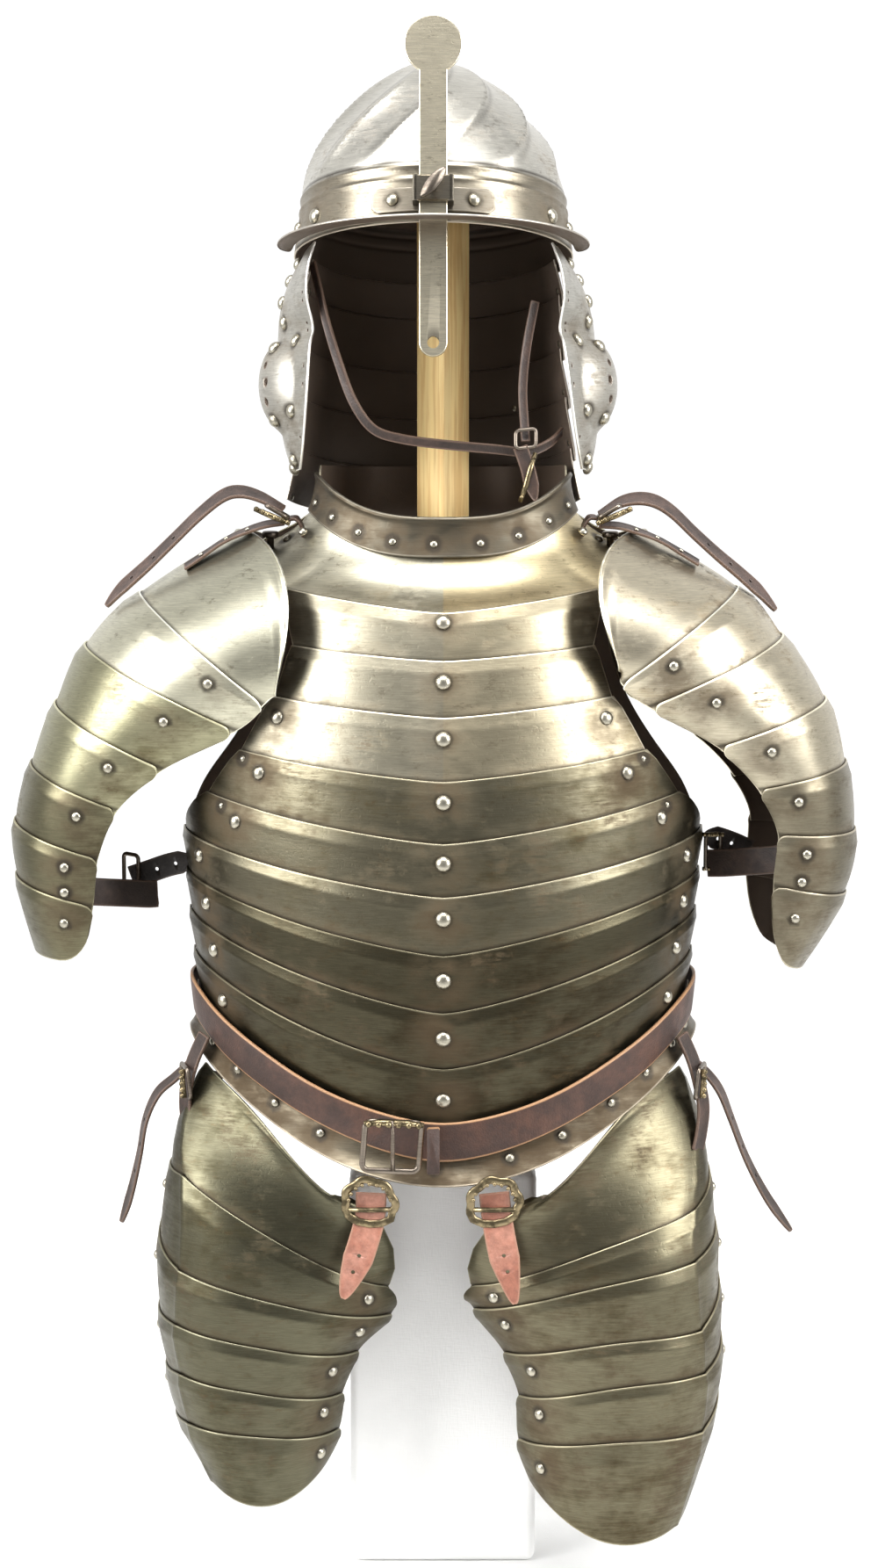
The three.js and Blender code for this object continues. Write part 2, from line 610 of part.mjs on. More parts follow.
function makeTailLame(index) {
  const at = (s, t) => {
    const value = (key) => rowValue(TAIL, key, index + t);
    const angle = 180 + mix(-TAIL_REACH, TAIL_REACH, s);
    return new THREE.Vector3(
      value('half') * sine(angle),
      -value('depth') * cosine(angle),
      value('z'),
    );
  };
  const stops = index === TAIL.length - 2 ? LAST_LAME_STOPS : LAME_STOPS;
  const geometry = plate({ columns: 16, stops, at, lift: lapsUnder });
  return piece(`tail_lame_${index + 1}`, geometry, 'darkSteel');
}

function makeHelmet() {
  const helmet = new THREE.Group();
  helmet.position.set(HELMET.x, 0, HELMET.z);
  helmet.rotation.x = -rad(HELMET.tilt);
  helmet.add(makeSkull(), makePeak(), makeBracket(), makeNasalBar(), makeWingScrew());
  SIDES.forEach((where) => helmet.add(makeCheek(where)));
  for (let lame = 0; lame < TAIL.length - 1; lame += 1) helmet.add(makeTailLame(lame));
  return helmet;
}

// ---------------------------------------------------------------- straps
function makeStraps() {
  const straps = new THREE.Group();
  const chin = strap({
    route: [
      [-94, -44, 994], [-89, -54, 974], [-83, -62, 949], [-74, -68, 920], [-64, -72, 894],
      [-50, -74, 875], [-30, -75, 868], [0, -75, 864], [34, -74, 861], [60, -68, 859],
      [76, -58, 865], [86, -44, 874],
    ],
    across: [0.25, -0.3, 1],
    width: 10,
    steps: 26,
  });
  straps.add(piece('chin_strap', chin, 'brownLeather'));

  // The free end stands up from the shoulder buckle and falls along the pauldron.
  const shoulders = {
    left: [
      [118, -25, 817], [134, -25, 826], [149, -25, 830], [162, -25, 827], [180, -25, 813],
      [199, -25, 795], [218, -25, 777], [238, -25, 759], [249, -25, 746],
    ],
    right: [
      [116, -25, 813], [130, -25, 822], [143, -25, 825], [156, -25, 823], [169, -25, 815],
      [185, -25, 800], [203, -25, 784], [221, -25, 769], [235, -25, 756], [246, -25, 743],
    ],
  };
  // The free end hangs in the air beside the thigh.
  const outers = {
    left: [
      [186, -46, 409], [200, -48, 396], [213, -50, 384], [222, -51, 364], [227, -52, 338],
      [234, -52, 309], [241, -52, 286],
    ],
    right: [
      [186, -46, 409], [198, -48, 398], [207, -50, 385], [215, -51, 365], [227, -52, 335],
      [243, -52, 305], [261, -52, 279],
    ],
  };
  // The pointed tongue comes through the buckle and lies over the tasset.
  const tongues = {
    left: [[51, -157, 338], [52, -158, 320], [58, -160, 298], [66, -160, 276], [71, -159, 262]],
    right: [[36, -157, 338], [38, -158, 320], [42, -160, 298], [47, -160, 276], [51, -159, 258]],
  };
  SIDES.forEach(({ name, side }) => {
    const high = { route: shoulders[name], across: [0.2, 1, 0.4], width: 19, steps: 18 };
    const low = { route: outers[name], across: [0.3, 1, 0], width: 15, steps: 14 };
    const inner = { route: tongues[name], across: [1, 0, 0.3], width: 21, steps: 10 };
    const over = strap({ ...high, side });
    const hang = strap({ ...low, side });
    const tongue = strap({ ...inner, point: 0.35, side });
    straps.add(piece(`shoulder_strap_${name}`, over, 'brownLeather'));
    straps.add(piece(`tasset_strap_${name}`, hang, 'brownLeather'));
    straps.add(piece(`tasset_tongue_${name}`, tongue, 'redLeather'));
  });
  return straps;
}

// ---------------------------------------------------------------- stand
// Board, column, square post turned corner-on, shoulder yoke and the block inside the skull.
function makeStand() {
  const [wide, deep, thick] = STAND.board;
  const board = block(wide, deep, thick, 0, 0, thick / 2);
  const [columnWide, columnDeep] = STAND.column;
  const columnTall = STAND.columnTop - thick + 1;
  const columnZ = STAND.columnTop - columnTall / 2;
  const column = block(columnWide, columnDeep, columnTall, 0, 0, columnZ);
  const postTall = STAND.postTop - STAND.columnTop + 1;
  const post = block(STAND.post, STAND.post, postTall, 0, 0, 0)
    .rotate([0, 0, 45])
    .translate([0, 0, STAND.postTop - postTall / 2]);
  const yoke = block(...STAND.yoke, 0, 0, STAND.yokeZ);
  const room = 2 * STAND.blockDeep;
  const headBlock = toSolid(new THREE.SphereGeometry(1, 24, 14))
    .scale([STAND.blockHalf, STAND.blockDeep, STAND.blockTall])
    .intersect(block(room, room, room, 0, 0, room / 2))
    .translate([0, 0, SKULL.band])
    .rotate([-HELMET.tilt, 0, 0])
    .translate([HELMET.x, 0, HELMET.z]);
  const stand = board.add(column).add(post).add(yoke).add(headBlock);
  return piece('stand', toGeometry(stand), 'wood');
}

// ---------------------------------------------------------------- the whole suit
const suit = new THREE.Group();
suit.add(makeStand(), makeHelmet(), makeCollar(), makeNeckPlate());
for (let lame = 0; lame < BREAST_EDGES.length - 2; lame += 1) suit.add(makeBreastLame(lame));
suit.add(makeWaistFlange(), makeBackplate(), makeBelt());
const [LEFT, RIGHT] = SIDES;
suit.add(makePauldron(LEFT, PAULDRON_LEFT, 0.82), makePauldron(RIGHT, PAULDRON_RIGHT, 1.04));
suit.add(makeTasset(LEFT, TASSET_LEFT), makeTasset(RIGHT, TASSET_RIGHT));
suit.add(makeStraps());

export default suit;
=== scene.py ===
# Suit of plate armour on a wooden stand: lobster-tailed helmet with a sliding nasal bar,
# laminated cuirass, two pauldrons and two tassets. The tables are in millimetres; every mesh is
# made in metres, +Z up, the wearer facing -Y. Left and right are as seen from the front.
import math

import bmesh
import bpy
import numpy as np
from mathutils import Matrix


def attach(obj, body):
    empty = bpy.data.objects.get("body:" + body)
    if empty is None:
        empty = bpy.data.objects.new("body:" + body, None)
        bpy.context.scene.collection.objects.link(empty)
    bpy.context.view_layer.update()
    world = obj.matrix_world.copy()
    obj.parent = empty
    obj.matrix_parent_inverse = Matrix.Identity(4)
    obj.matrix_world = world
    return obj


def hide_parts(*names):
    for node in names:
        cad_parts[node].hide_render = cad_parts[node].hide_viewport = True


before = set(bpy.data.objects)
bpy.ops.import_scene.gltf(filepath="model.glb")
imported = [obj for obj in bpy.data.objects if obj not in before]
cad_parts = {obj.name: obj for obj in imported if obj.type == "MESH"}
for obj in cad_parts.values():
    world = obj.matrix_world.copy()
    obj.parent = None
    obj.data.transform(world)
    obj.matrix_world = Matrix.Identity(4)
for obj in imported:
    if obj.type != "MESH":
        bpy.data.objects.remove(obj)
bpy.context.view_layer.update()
scene = bpy.context.scene


# ---------------------------------------------------------------- studio
# Pale floor, soft light from a big window of light on each side and one overhead, and a camera
# at breast height looking slightly down.
EYE = {"place": (-0.003, -1.9, 0.83), "down": 6.58, "lens": 58.08}
SOFTBOXES = [
    # name, place, aim, width, height, power
    ("key", (-1.9, -1.0, 1.45), (0, 0, 0.80), 1.5, 1.9, 25),
    ("fill", (1.95, -0.95, 1.4), (0, 0, 0.80), 1.3, 1.8, 20),
    ("overhead", (0, -0.7, 2.5), (0, 0, 0.95), 1.8, 1.0, 18),
]
LAMP_SPREAD = 85

camera = bpy.data.objects.new("camera", bpy.data.cameras.new("camera"))
camera.data.sensor_fit = "VERTICAL"
camera.data.sensor_height = 36
camera.data.lens = EYE["lens"]
camera.location = EYE["place"]
camera.rotation_euler = (math.radians(90 - EYE["down"]), 0, 0)
scene.collection.objects.link(camera)
scene.camera = camera

for name, place, aim, width, height, power in SOFTBOXES:
    lamp = bpy.data.lights.new(name, "AREA")
    lamp.shape, lamp.size, lamp.size_y, lamp.energy = "RECTANGLE", width, height, power
    lamp.spread = math.radians(LAMP_SPREAD)
    holder = bpy.data.objects.new(name, lamp)
    holder.location = place
    ray = np.subtract(aim, place)
    holder.rotation_euler = (math.acos(ray[2] / np.linalg.norm(ray)) - math.pi, 0,
                             math.atan2(ray[1], ray[0]) + math.pi / 2)
    scene.collection.objects.link(holder)


def feed(tree, socket, value):
    """Join a socket to another one, or set it to a plain value."""
    value = getattr(value, "socket", value)
    if hasattr(value, "links"):
        tree.links.new(value, socket)
    else:
        socket.default_value = value


def add_node(tree, kind, inputs=(), **settings):
    """A new node with its settings, and its inputs fed by name or number."""
    node = tree.nodes.new(kind)
    for key, value in settings.items():
        setattr(node, key, value)
    for key, value in dict(inputs).items():
        feed(tree, node.inputs[key], value)
    return node


def fade_back(tree, coordinates, near, far, dark, light):
    """A value that runs from dark to light as Y runs from near to far."""
    where = add_node(tree, "ShaderNodeTexCoord").outputs[coordinates]
    parts = add_node(tree, "ShaderNodeSeparateXYZ", {0: where})
    return add_node(tree, "ShaderNodeMapRange", {
        "From Min": near, "From Max": far, "To Min": dark, "To Max": light,
        "Value": parts.outputs["Y"]}).outputs["Result"]


WHITE = (1, 1, 1, 1)
world = bpy.data.worlds.new("studio_air")
scene.world = world
world.use_nodes = True
air = world.node_tree
feed(air, air.nodes["Background"].inputs["Color"], WHITE)
feed(air, air.nodes["Background"].inputs["Strength"],
     fade_back(air, "Generated", 0.05, 0.70, 0.30, 1.06))
scene.view_settings.view_transform = "Standard"

FLOOR_REACH = 9
floor_mesh = bpy.data.meshes.new("floor")
floor_mesh.from_pydata([(x * FLOOR_REACH, y * FLOOR_REACH, 0)
                        for x, y in ((-1, -1), (1, -1), (1, 1), (-1, 1))], [], [(0, 1, 2, 3)])
floor = bpy.data.objects.new("floor", floor_mesh)
scene.collection.objects.link(floor)
pale = bpy.data.materials.new("pale_floor")
pale.use_nodes = True
# The floor glows, more the farther back it lies: painted light that lifts it to the white of the
# backdrop.
for key, value in (("Base Color", (0.88, 0.88, 0.87, 1)), ("Roughness", 0.9),
                   ("Emission Color", WHITE),
                   ("Emission Strength", fade_back(pale.node_tree, "Object", 0.4, 4.0, 0, 0.68))):
    feed(pale.node_tree, pale.node_tree.nodes["Principled BSDF"].inputs[key], value)
floor_mesh.materials.append(pale)


# ---------------------------------------------------------------- breast
# Nine forged lames, each shaped over the trunk and riveted over the one above it, with a thin
# filed edge and a raised border along its top. The neck plate closes them off above.


def table(columns, rows):
    """Named columns of a small table, as arrays."""
    return dict(zip(columns.split(), np.array(rows, float).T))


def between(rows, column, place):
    """A smooth value between the rows of a table; place counts rows from 0."""
    values = rows[column]
    last = len(values) - 1
    place = np.asarray(place, float)
    row = np.clip(np.floor(place), 0, last - 1).astype(int)
    f = place - row
    before, start, end, after = (values[np.clip(row + k, 0, last)] for k in (-1, 0, 1, 2))
    bend = 2 * before - 5 * start + 4 * end - after + f * (3 * (start - end) + after - before)
    beyond = values[-2] + (values[-1] - values[-2]) * (1 + place - last)
    return np.where(place > last, beyond, start + 0.5 * f * (end - before + f * bend))


def columns_at(rows, place):
    """A reader that gives any column of a table at a place."""
    return lambda column: between(rows, column, place)


def mix(a, b, share):
    return a + (b - a) * share


def sine(degrees):
    return np.sin(np.radians(degrees))


def cosine(degrees):
    return np.cos(np.radians(degrees))


def point(x, y, z):
    return np.stack(np.broadcast_arrays(x, y, z), axis=-1).astype(float)


def unit(vectors):
    return vectors / np.maximum(np.linalg.norm(vectors, axis=-1, keepdims=True), 1e-12)


def facing_of(at, s, t, top=0.0, bottom=2.0):
    """The outward direction of a surface at(s, t)."""
    small = 1e-3
    down = at(s, np.minimum(t + small, bottom)) - at(s, np.maximum(t - small, top))
    return unit(np.cross(down, at(s + small, t) - at(s - small, t)))


def near_ends(count, ends):
    """Even steps from 0 to 1, with a close step inside each end for a crisp edge."""
    return np.unique(np.concatenate([np.linspace(0, 1, count + 1), [ends, 1 - ends]]))


STEEL = 1.5  # wall of every plate
LAP = 0.22  # share of a lame that runs on under its neighbour
STEP = 2.4  # how far a lame's free edge stands off the stack
ROUNDING = 0.35  # how far the hammered edge bulges between its two faces
FAR = 60.0  # a distance past the reach of every mask


def forge(name, at, across, down, lift=None, thick=STEEL, side=1, closed=False, capped=False,
          start=None, stop=None, covered=None, bare_bottom=True):
    """A plate with two faces and a rounded edge on the surface at(s, t), with s across and t
    down. start(s) and stop(s) cut its top and bottom; covered is the t where a neighbour lies
    over it. It keeps how far each point is from a bare edge and from that neighbour."""
    s, t = np.meshgrid(across[:-1] if closed else across, down)
    if start is not None or stop is not None:
        low = start(s) if start is not None else down[0]
        high = stop(s) if stop is not None else down[-1]
        t = mix(low, high, (t - down[0]) / (down[-1] - down[0]))
    surface = at(s, t)
    facing = facing_of(at, s, t, down[0], down[-1])
    outer = surface + facing * (np.zeros_like(s) if lift is None else lift(s, t))[..., None]
    inner = outer - facing * (thick(s, t)[..., None] if callable(thick) else thick)
    rows, columns = s.shape
    count = rows * columns

    step_down = np.linalg.norm(np.diff(surface, axis=0), axis=-1)
    fall = np.vstack([np.zeros(columns), np.cumsum(step_down, axis=0)])
    edge = np.full(s.shape, FAR) if capped else fall.copy()
    if bare_bottom:
        edge = np.minimum(edge, fall[-1] - fall)
    if not closed:
        step_across = np.linalg.norm(np.diff(surface, axis=1), axis=-1)
        run = np.hstack([np.zeros((rows, 1)), np.cumsum(step_across, axis=1)])
        edge = np.minimum(edge, np.minimum(run, run[:, -1:] - run))
    under = np.full(s.shape, FAR)
    if covered is not None:
        reach = [np.interp(covered, t[:, c], fall[:, c]) for c in range(columns)]
        under = np.abs(fall - np.array(reach))

    grid = np.arange(count).reshape(rows, columns)
    this, beyond = (grid, np.roll(grid, -1, axis=1)) if closed else (grid[:, :-1], grid[:, 1:])
    quads = np.stack([this[:-1], this[1:], beyond[1:], beyond[:-1]], -1).reshape(-1, 4)
    faces = [quads, quads[:, ::-1] + count]
    surface, outer, inner = (part.reshape(-1, 3) for part in (surface, outer, inner))
    vertices, kept = [outer, inner], []

    def rim(loop, inward):
        """Close the wall along a loop of grid points with a rounded edge."""
        first = sum(len(part) for part in vertices)
        away = unit(surface[loop] - surface[inward])
        vertices.append((outer[loop] + inner[loop]) / 2 + away * ROUNDING)
        after, new = np.roll(loop, -1), first + np.arange(len(loop))
        beside = np.roll(new, -1)
        faces.append(np.stack([loop, after, beside, new, new, beside, after + count,
                               loop + count], 1).reshape(-1, 4))
        kept.append(loop)

    if closed:
        rim(grid[-1][::-1], grid[-2][::-1])
        if not capped:
            rim(grid[0], grid[1])
    else:
        loop = np.concatenate([grid[0, :], grid[1:, -1], grid[-1, -2::-1], grid[-2:0:-1, 0]])
        inward = np.concatenate([grid[1, :], grid[1:, -2], grid[-2, -2::-1], grid[-2:0:-1, 1]])
        inward[0], inward[columns - 1] = grid[1, 1], grid[1, -2]
        inward[columns + rows - 2], inward[2 * columns + rows - 3] = grid[-2, -2], grid[-2, 1]
        rim(loop, inward)
    polygons = [face for part in faces for face in part.tolist()]
    if capped:
        polygons += [grid[0][::-1].tolist(), (grid[0] + count).tolist()]

    masks = {key: np.concatenate([mask.ravel(), mask.ravel()] + [mask.ravel()[k] for k in kept])
             for key, mask in (("edge", edge), ("under", under))}
    hidden = np.repeat([0.0, 1.0, 0.0], [count, count, sum(len(k) for k in kept)])
    return solid(name, np.concatenate(vertices) * (side, 1, 1), polygons, hidden=hidden, **masks)


def link_new(name, mesh):
    piece = bpy.data.objects.new(name, mesh)
    scene.collection.objects.link(piece)
    return piece


def corners_of(mesh):
    """The mesh's corners as rows of x, y, z in metres."""
    points = np.empty(len(mesh.vertices) * 3)
    mesh.vertices.foreach_get("co", points)
    return points.reshape(-1, 3)


def keep(mesh, name, values):
    """Keep one number for each corner of a mesh."""
    mesh.attributes.new(name, "FLOAT", "POINT").data.foreach_set(
        "value", np.asarray(values, np.float32))


def solid(name, corners, polygons, smooth=True, **masks):
    """A closed mesh object from millimetre corners, turned outward, with its masks kept as
    attributes (distances in metres)."""
    mesh = bpy.data.meshes.new(name)
    mesh.from_pydata((np.asarray(corners) / 1000).tolist(), [], polygons)
    mesh.calc_loop_triangles()
    corner_ids = np.empty(len(mesh.loop_triangles) * 3, int)
    mesh.loop_triangles.foreach_get("vertices", corner_ids)
    a, b, c = corners_of(mesh)[corner_ids.reshape(-1, 3)].transpose(1, 0, 2)
    if np.sum(a * np.cross(b, c)) < 0:
        mesh.flip_normals()
    for mask, values in masks.items():
        scale = 1 if mask == "hidden" else 1000
        keep(mesh, mask, np.asarray(values, np.float32) / scale)
    mesh.polygons.foreach_set("use_smooth", [smooth] * len(mesh.polygons))
    mesh.update()
    return link_new(name, mesh)


class Shade:
    """A value or colour in a shader tree; sums and products of shades add their own nodes."""

    def __init__(self, tree, socket):
        self.tree, self.socket = tree, socket

    def __add__(self, other):
        return combine("ADD", self, other)

    def __mul__(self, other):
        return combine("MULTIPLY", self, other)

    def __rsub__(self, number):
        return combine("SUBTRACT", number, self)

    def band(self, low, high, to_low=0.0, to_high=1.0):
        """The value run from low..high to to_low..to_high with soft ends."""
        node = add_node(self.tree, "ShaderNodeMapRange", {
            "From Min": low, "From Max": high, "To Min": to_low, "To Max": to_high,
            "Value": self}, interpolation_type="SMOOTHSTEP")
        return Shade(self.tree, node.outputs["Result"])


def combine(kind, a, b, clamp=False):
    tree = a.tree if isinstance(a, Shade) else b.tree
    node = add_node(tree, "ShaderNodeMath", {0: a, 1: b}, operation=kind, use_clamp=clamp)
    return Shade(tree, node.outputs[0])


def tint(share, a, b, kind="MIX"):
    """Colour a turned towards colour b by share."""
    tree = next(value.tree for value in (share, a, b) if isinstance(value, Shade))
    node = add_node(tree, "ShaderNodeMix", data_type="RGBA", blend_type=kind)
    for place, value in ((0, share), (6, a), (7, b)):
        feed(tree, node.inputs[place], value)
    return Shade(tree, node.outputs[2])


def own_place(tree):
    """The object's own coordinates."""
    return Shade(tree, add_node(tree, "ShaderNodeTexCoord").outputs["Object"])


def noise(where, scale, detail=4.0, rough=0.55, stretch=(1, 1, 1)):
    """Soft noise over stretched coordinates."""
    mapping = add_node(where.tree, "ShaderNodeMapping", {"Scale": stretch, "Vector": where})
    cloud = add_node(where.tree, "ShaderNodeTexNoise", {
        "Scale": scale, "Detail": detail, "Roughness": rough,
        "Vector": mapping.outputs["Vector"]})
    return Shade(where.tree, cloud.outputs["Fac"])


def mask(tree, name):
    node = add_node(tree, "ShaderNodeAttribute", attribute_name=name)
    return Shade(tree, node.outputs["Fac"])


def effect_group(name, starts, outputs):
    """An empty shared effect: its tree, its named inputs as shades and its output node."""
    group = bpy.data.node_groups.new(name, "ShaderNodeTree")
    for key, start in starts.items():
        kind = "NodeSocketFloat" if np.isscalar(start) else "NodeSocketColor"
        group.interface.new_socket(key, in_out="INPUT", socket_type=kind).default_value = start
    for key in outputs:
        kind = "NodeSocketColor" if key == "Color" else "NodeSocketFloat"
        group.interface.new_socket(key, in_out="OUTPUT", socket_type=kind)
    given = add_node(group, "NodeGroupInput")
    return (group, {key: Shade(group, given.outputs[key]) for key in starts},
            add_node(group, "NodeGroupOutput"))


def old_steel_group():
    """Aged plate steel: hammered mottling, fine horizontal grain, brown rust where water sits by the
    rivets and laps, painted shade under the laps and round the rivets, bright edges that are partly
    rubbed wear and partly painted highlight, and a right half that can be painted warmer and
    brighter as the lit side."""
    group, given, result = effect_group("old_steel", {
        "Bright": (0.62, 0.60, 0.53, 1), "Dull": (0.30, 0.28, 0.21, 1),
        "Rust": (0.085, 0.058, 0.030, 1), "Rust amount": 1.0, "Patina": 0.5,
        "Edge polish": 1.0, "Cleaned half": 0.0,
    }, ("Color", "Roughness", "Metallic", "Height"))
    where = own_place(group)
    edge, under, rivet, hidden = (mask(group, name)
                                  for name in ("edge", "under", "rivet", "hidden"))
    clouds = noise(where, 9, 5, 0.6)
    blotches = noise(where, 34, 6, 0.62, (1, 1, 1.6))
    grain = noise(where, 60, 5, 0.65, (1, 1, 9))
    scratches = noise(where, 240, 3, 0.6, (0.35, 0.35, 9))
    pits = noise(where, 420, 2, 0.5)

    dulled = clouds * 0.60 + blotches * 0.45 + grain * 0.22
    low = 0.94 - given["Patina"] * 0.6
    high = low + 0.24
    color = tint(dulled.band(low, high), given["Bright"], given["Dull"])
    color = tint(1.0, color, scratches.band(0.35, 0.7, 0.84, 1.10), "MULTIPLY")
    flecks = noise(where, 95, 7, 0.75, (1, 1, 2.2)).band(0.53, 0.66) * blotches.band(0.35, 0.65)
    color = tint(flecks * 0.55, color, given["Rust"])
    # Painted light: the right half, X above nought, is made warmer and brighter as the lit side, as
    # much as each steel asks.
    across = add_node(group, "ShaderNodeSeparateXYZ", {0: where})
    lit_side = Shade(group, across.outputs["X"]).band(-0.0006, 0.0006) * given["Cleaned half"]
    color = tint(lit_side, color, (1.25, 1.12, 0.90, 1), "MULTIPLY")

    by_rivet = rivet.band(0.034, 0.005) * blotches.band(0.25, 0.62)
    by_lap = under.band(0.012, 0.0) * blotches.band(0.32, 0.75)
    spots = noise(where, 20, 7, 0.7).band(0.52, 0.70) * grain.band(0.35, 0.6)
    rust = combine("MAXIMUM", combine("MAXIMUM", by_rivet, by_lap), spots)
    rust = combine("MULTIPLY", rust, given["Rust amount"], clamp=True)
    color = tint(rust * 0.75, color, given["Rust"])
    # Painted shade: near black in a thin line where each lap goes under its neighbour and in a ring
    # round each rivet.
    lap_and_rivet_shade = combine("MAXIMUM", under.band(0.0035, 0.0), rivet.band(0.0085, 0.0050))
    color = tint(lap_and_rivet_shade * 0.8, color, (0.035, 0.028, 0.02, 1))
    # Edges brightened towards a shining copy of the steel: partly rubbed wear, partly painted
    # highlight where the rounded edges catch the light.
    rubbed = edge.band(0.0013, 0.0005) * given["Edge polish"]
    shine = tint(1.0, given["Bright"], (2.4, 2.4, 2.5, 1), "MULTIPLY")
    color = tint(rubbed * 0.8, color, shine)
    color = tint(hidden, color, (0.12, 0.088, 0.066, 1))

    gloss = dulled.band(low, high, 0.33, 0.50) + rust * 0.25
    metal = combine("SUBTRACT", 1.0, rust * 0.35, clamp=True)
    for key, value in (
        ("Color", color), ("Roughness", combine("ADD", gloss, hidden * 0.2, clamp=True)),
        ("Metallic", combine("SUBTRACT", metal, hidden * 0.6, clamp=True)),
        ("Height", scratches * 0.25 + pits.band(0.25, 0.45) * 0.35 + blotches * 0.9),
    ):
        feed(group, result.inputs[key], value)
    return group


OLD_STEEL = old_steel_group()


def new_finish(name):
    finish = bpy.data.materials.new(name)
    finish.use_nodes = True
    return finish


def dress(finish, strength, distance, height, values):
    """Feed a material's shader with its values and bump it by a height."""
    tree = finish.node_tree
    bump = add_node(tree, "ShaderNodeBump",
                    {"Strength": strength, "Distance": distance, "Height": height})
    for key, value in {**values, "Normal": bump.outputs["Normal"]}.items():
        feed(tree, tree.nodes["Principled BSDF"].inputs[key], value)
    return finish


def wearing(name, group, strength, distance, **values):
    """A material that wears a shared effect with its own values for it."""
    finish = new_finish(name)
    effect = add_node(finish.node_tree, "ShaderNodeGroup", node_tree=group)
    for key, value in values.items():
        effect.inputs[key.replace("_", " ")].default_value = value
    results = {out.name.replace("Color", "Base Color"): out for out in effect.outputs}
    return dress(finish, strength, distance, results.pop("Height"), results)


def steel(name, bright, dull, rust, patina, edge_wear_and_shine=1.0, lit_half=0.0):
    """A steel finish with its own values for the shared effect."""
    return wearing(name, OLD_STEEL, 0.25, 0.0004, Bright=(*bright, 1), Dull=(*dull, 1),
                   Rust_amount=rust, Patina=patina, Edge_polish=edge_wear_and_shine, Cleaned_half=lit_half)


RIVETS = []  # every rivet driven so far: place and facing in millimetres, radius, owner


def rivet(at, lift, s, t, radius, body="root", side=1):
    """Note a rivet through a plate at (s, t) of its surface."""
    s, t = np.float64(s), np.float64(t)
    facing = facing_of(at, s, t)
    place = at(s, t) + facing * (0.0 if lift is None else float(lift(s, t)))
    RIVETS.append((place * (side, 1, 1), facing * (side, 1, 1), radius, body))
    return place * (side, 1, 1)


def finish_plate(piece, finish, node, rivets=(), body="root"):
    """Give a plate its finish, its distance to the nearest rivet, and its place in the frame."""
    points = corners_of(piece.data)
    apart = np.full(len(points), FAR / 1000)
    for spot in rivets:
        apart = np.minimum(apart, np.linalg.norm(points - np.asarray(spot) / 1000, axis=1))
    keep(piece.data, "rivet", apart)
    piece.data.materials.append(finish)
    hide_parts(node)
    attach(piece, body)


TRUNK = table("z half front", [
    (330, 181, 150), (385, 178, 143), (425, 181, 150), (465, 185, 155), (505, 189, 157),
    (545, 192, 156), (585, 194, 152), (630, 188, 146), (673, 178, 138), (715, 163, 127),
    (757, 149, 110), (800, 143, 86),
])
CHEST_RIDGE = {"rise": 2.5, "width": 9}
# Upper edges of the lames, the waist and the flange: height at the middle and at the end,
# where the end lies in degrees from the front, and how round the dip is.
BREAST_EDGES = table("middle side end arc", [
    (745, 761, 51, 1.3), (712, 721, 42, 1.3), (673, 685, 44, 1.3), (629, 646, 52, 1.3),
    (586, 613, 64, 1.3), (549, 581, 88, 1.3), (508, 550, 88, 1.3), (467, 520, 88, 1.35),
    (426, 489, 88, 1.45), (380, 462, 88, 1.8), (342, 430, 88, 2.1),
])
BORDER = {"deep": 9.5, "lean": 0.75, "ridge": 0.3}  # the raised border along a lame's top
BREAST_LAMES = 9
# Rivets of each lame: share of its height, and angle to each side for the side rivets.
BREAST_RIVETS = table("down left right", [
    (0.2, 0, 0), (0.37, 0, 0), (0.33, 41, 40), (0.33, 44, 44), (0.36, 50, 54),
    (0.36, 66, 66), (0.42, 64, 66), (0.44, 62, 64), (0.5, 60, 62),
])


def trunk_point(angle, z):
    place = np.interp(z, TRUNK["z"], np.arange(len(TRUNK["z"])))
    beyond = (z - TRUNK["z"][-1]) / (TRUNK["z"][-1] - TRUNK["z"][-2])
    place = np.where(beyond > 0, len(TRUNK["z"]) - 1 + beyond, place)
    keel = CHEST_RIDGE["rise"] * np.exp(-((angle / CHEST_RIDGE["width"]) ** 2))
    front = between(TRUNK, "front", place) + keel
    return point(between(TRUNK, "half", place) * sine(angle), -front * cosine(angle), z)


def edge_height(row, angle):
    end = BREAST_EDGES["end"][row]
    swing = np.minimum(np.abs(sine(angle) / sine(end)), 1.1)
    return mix(BREAST_EDGES["middle"][row], BREAST_EDGES["side"][row],
               swing ** BREAST_EDGES["arc"][row])


def breast_point(s, place):
    row = np.minimum(np.floor(place), len(BREAST_EDGES["end"]) - 2).astype(int)
    angle = mix(-1, 1, s) * mix(BREAST_EDGES["end"][row], BREAST_EDGES["end"][row + 1],
                                place - row)
    return trunk_point(angle, mix(edge_height(row, angle), edge_height(row + 1, angle),
                                  place - row))


def lapped(height):
    """How a lame stands off the stack: its border leans in to a thin edge, its body runs down
    to the strip that lies under the next lame."""
    def lift(s, t):
        body = STEP * np.clip((1 - t) / (1 - LAP), 0, 1)
        deep = np.clip(t * height / BORDER["deep"], 0, 1)
        lean = BORDER["lean"] * (1 - deep)
        ridge = BORDER["ridge"] * np.exp(-((t * height / BORDER["deep"] - 1) / 0.25) ** 2)
        return body - lean + ridge
    return lift


def lame_stops(height, last=False):
    """Steps down a lame, close together at its edges and along its border."""
    end = 1.0 if last else 1 + LAP
    border = BORDER["deep"] / height
    stops = np.concatenate([
        [0, 0.5 / height, 0.5 * border, 0.82 * border, border, 1.18 * border],
        np.linspace(1.5 * border, 0.97, 5), [1.0, end - 0.5 / height, end],
    ])
    return np.unique(np.round(stops[stops <= end], 5))
